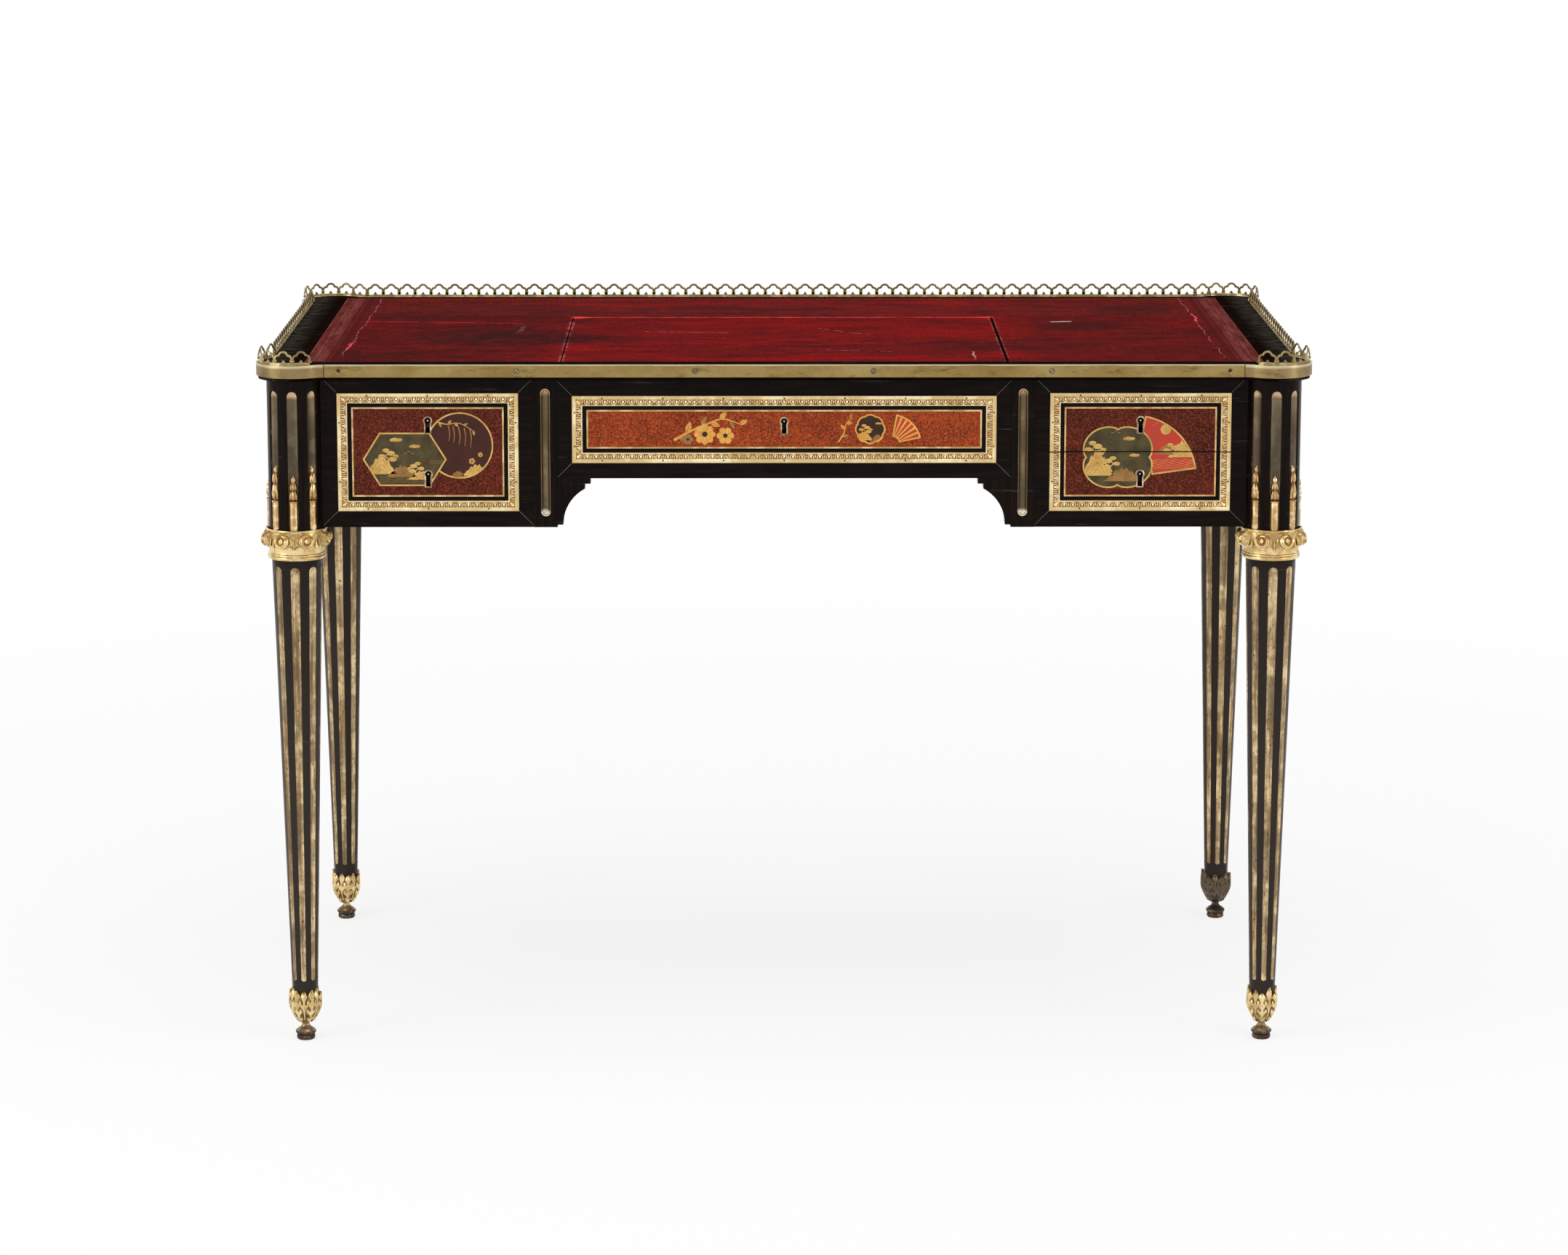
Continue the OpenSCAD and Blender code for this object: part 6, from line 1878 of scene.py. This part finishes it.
def end_picture(panel):
    for side in (-1, 1):
        round_scene = polar(side * 96, 0, 36, 6, 0.12, 1.2, 0, 96)
        panel.scene(round_scene, OLIVE_P if side < 0 else BROWN_P)
        panel.hill(side * 96 - 12, -26, 46, 20)
        panel.hill(side * 96 + 18, -28, 34, 12, OLD_P)
        panel.pine(side * 96 - 16, -14, 1.1)
        panel.cloud(side * 96 + 12, 14, 3.0)
        panel.water(side * 96, -28, 50, 2)
        panel.close()
    panel.spray([(-40, -14), (-16, -2), (8, 0), (34, 14)], 8, 1.7)
    panel.blossom(-6, 10, 8, 8)
    panel.blossom(14, -12, 6, 5, OLD_P)


def make_inlay(name, panel, place, body, gold=GOLD_PAINT):
    made = Heap()
    made.add_heap(panel.heap, place)
    paints = [gold if paint == GOLD_PAINT else paint for paint in PAINTS]
    make_piece(name, made, paints, body)


MIDDLE_UP, CENTRE_UP = SIDE_FACE[1] / 2, CENTRE_FACE[1] / 2
left_panel = Panel(PANEL_W, PANEL_H, SIDE_KEYS)
left_picture(left_panel)
make_inlay("left_drawer_picture", left_panel, left_face @ at(0, MIDDLE_UP), "left_drawer")
for drawer, low, high in (("upper", GAP, PANEL_H / 2), ("lower", -PANEL_H / 2, -GAP)):
    half_panel = Panel(PANEL_W, PANEL_H, SIDE_KEYS, low, high)
    right_picture(half_panel)
    make_inlay(f"{drawer}_drawer_picture", half_panel, right_face @ at(0, MIDDLE_UP), f"{drawer}_drawer")
wide_panel = Panel(WIDE_W, WIDE_H, [(0, (CENTRE_KEY - CENTRE_LOW - CENTRE_H / 2) / MM)])
wide_picture(wide_panel)
make_inlay("centre_drawer_picture", wide_panel, centre_face @ at(0, CENTRE_UP), "centre_drawer",
           AMBER_PAINT)

fixed_pictures = Heap()
end_panel = Panel(END_FACE[0] - 2 * PANEL_INSET, PANEL_H)
end_picture(end_panel)
back_panel = Panel(PANEL_W, PANEL_H)
left_picture(back_panel)
back_wide = Panel(WIDE_W, WIDE_H)
wide_picture(back_wide)
shown = [(end_panel, MIDDLE_UP)] * 2 + [(back_panel, MIDDLE_UP)] * 2 + [(back_wide, CENTRE_UP)]
for (panel, middle), (_, place) in zip(shown, FIXED_FACES):
    fixed_pictures.add_heap(panel.heap, place @ at(0, middle))
make_piece("fixed_pictures", fixed_pictures, PAINTS, "carcass")

# %% [markdown]
# ## Leather skins
# The leather is one skin, slit along both sides of the flap so that the flap can lift, and bent at a crease
# behind it. The part on the top is a plain plate with softened edges. The part on the flap is a grid with
# close rows at the crease.

# %% Leather skins
LEATHER_T = 1.2 * MM
FLAP_GAP = 0.6 * MM
BEND = 4 * MM


def leather_object(name, mesh):
    """Gives a mesh the leather finish and puts it in the scene, smooth but for its edges."""
    mesh.materials.append(LEATHER)
    mesh.shade_smooth()
    mesh.set_sharp_from_angle(angle=math.radians(50))
    piece = bpy.data.objects.new(name, mesh)
    scene.collection.objects.link(piece)
    return piece


def softened_plate(name, outline, top, thick, soft, body, replaced):
    work = bmesh.new()
    face = work.faces.new([work.verts.new((x, y, top)) for x, y in outline])
    face.normal_update()
    if face.normal.z < 0:
        face.normal_flip()
    rim = list(face.edges)
    made = bmesh.ops.extrude_face_region(work, geom=[face])
    bottom = [v for v in made["geom"] if isinstance(v, bmesh.types.BMVert)]
    bmesh.ops.translate(work, verts=bottom, vec=(0, 0, -thick))
    bmesh.ops.recalc_face_normals(work, faces=work.faces)
    bmesh.ops.bevel(work, geom=[e for e in rim if e.is_valid], offset=soft, segments=2, affect="EDGES")
    mesh = bpy.data.meshes.new(name)
    work.to_mesh(mesh)
    work.free()
    piece = leather_object(name, mesh)
    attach(piece, body)
    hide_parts(replaced)
    return piece


back_of_flap = CREASE_Y + BEND
softened_plate("leather_field", [
    (-LEATHER_X, LEATHER_FRONT), (-FLAP_X, LEATHER_FRONT), (-FLAP_X, back_of_flap), (FLAP_X, back_of_flap),
    (FLAP_X, LEATHER_FRONT), (LEATHER_X, LEATHER_FRONT), (LEATHER_X, LEATHER_BACK),
    (-LEATHER_X, LEATHER_BACK)],
    TOP_Z, LEATHER_T, 0.25 * MM, "carcass", "writing_leather")


def flap_skin():
    half = FLAP_X - FLAP_GAP
    front = LEATHER_FRONT + FLAP_GAP
    rows = [front + (CREASE_Y - BEND - front) * k / 12 for k in range(13)]
    rows += [CREASE_Y - BEND + 2 * BEND * k / 12 for k in range(1, 13)]
    columns = [-half + 2 * half * k / 24 for k in range(25)]
    top = [(x, y, TOP_Z) for y in rows for x in columns]
    bottom = [(x, y, TOP_Z - LEATHER_T) for y in rows for x in columns]
    points, faces = closed_shell(top, bottom, len(rows), len(columns))
    mesh = bpy.data.meshes.new("leather_flap")
    mesh.from_pydata(points, [], faces)
    piece = leather_object("leather_flap", mesh)
    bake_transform(piece)
    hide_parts("flap_leather")


flap_skin()

# %% [markdown]
# ## Floor
# The paper under the desk is almost white. Its own colour does most of that, and only a share of it
# answers to the lamps, so the shadows at the feet stay as faint as on a lit paper sweep. Farther away,
# where the lamps don't reach, the share shrinks to nothing and the paper runs into the white behind.

# %% Floor
def make_paper():
    f = Finish("studio_paper", Roughness=0.9, Specular_IOR_Level=0.0)
    f.set("Base Color", (0.86, 0.86, 0.86, 1))
    out = f.tree.nodes["Material Output"]
    glow = f.add("ShaderNodeEmission")
    rays = f.add("ShaderNodeLightPath")
    mix = f.add("ShaderNodeMixShader")
    seen = f.math("MAXIMUM", rays.outputs["Is Camera Ray"], rays.outputs["Is Glossy Ray"])
    seen = f.math("MAXIMUM", seen, rays.outputs["Is Transmission Ray"])
    far = f.add("ShaderNodeVectorMath", operation="LENGTH")
    f.join(f.place, far.inputs[0])
    f.join(f.times(seen, f.range(far.outputs["Value"], 0.8, 2.4, 0.80, 1.0)), mix.inputs[0])
    f.join(f.shader.outputs[0], mix.inputs[1])
    f.join(glow.outputs[0], mix.inputs[2])
    f.join(mix.outputs[0], out.inputs["Surface"])
    return f.material


floor_mesh = bpy.data.meshes.new("studio_floor")
FLOOR = 14
floor_corners = [(-FLOOR, -FLOOR, 0), (FLOOR, -FLOOR, 0), (FLOOR, FLOOR, 0), (-FLOOR, FLOOR, 0)]
floor_mesh.from_pydata(floor_corners, [], [(0, 1, 2, 3)])
floor_mesh.materials.append(make_paper())
floor = bpy.data.objects.new("studio_floor", floor_mesh)
scene.collection.objects.link(floor)
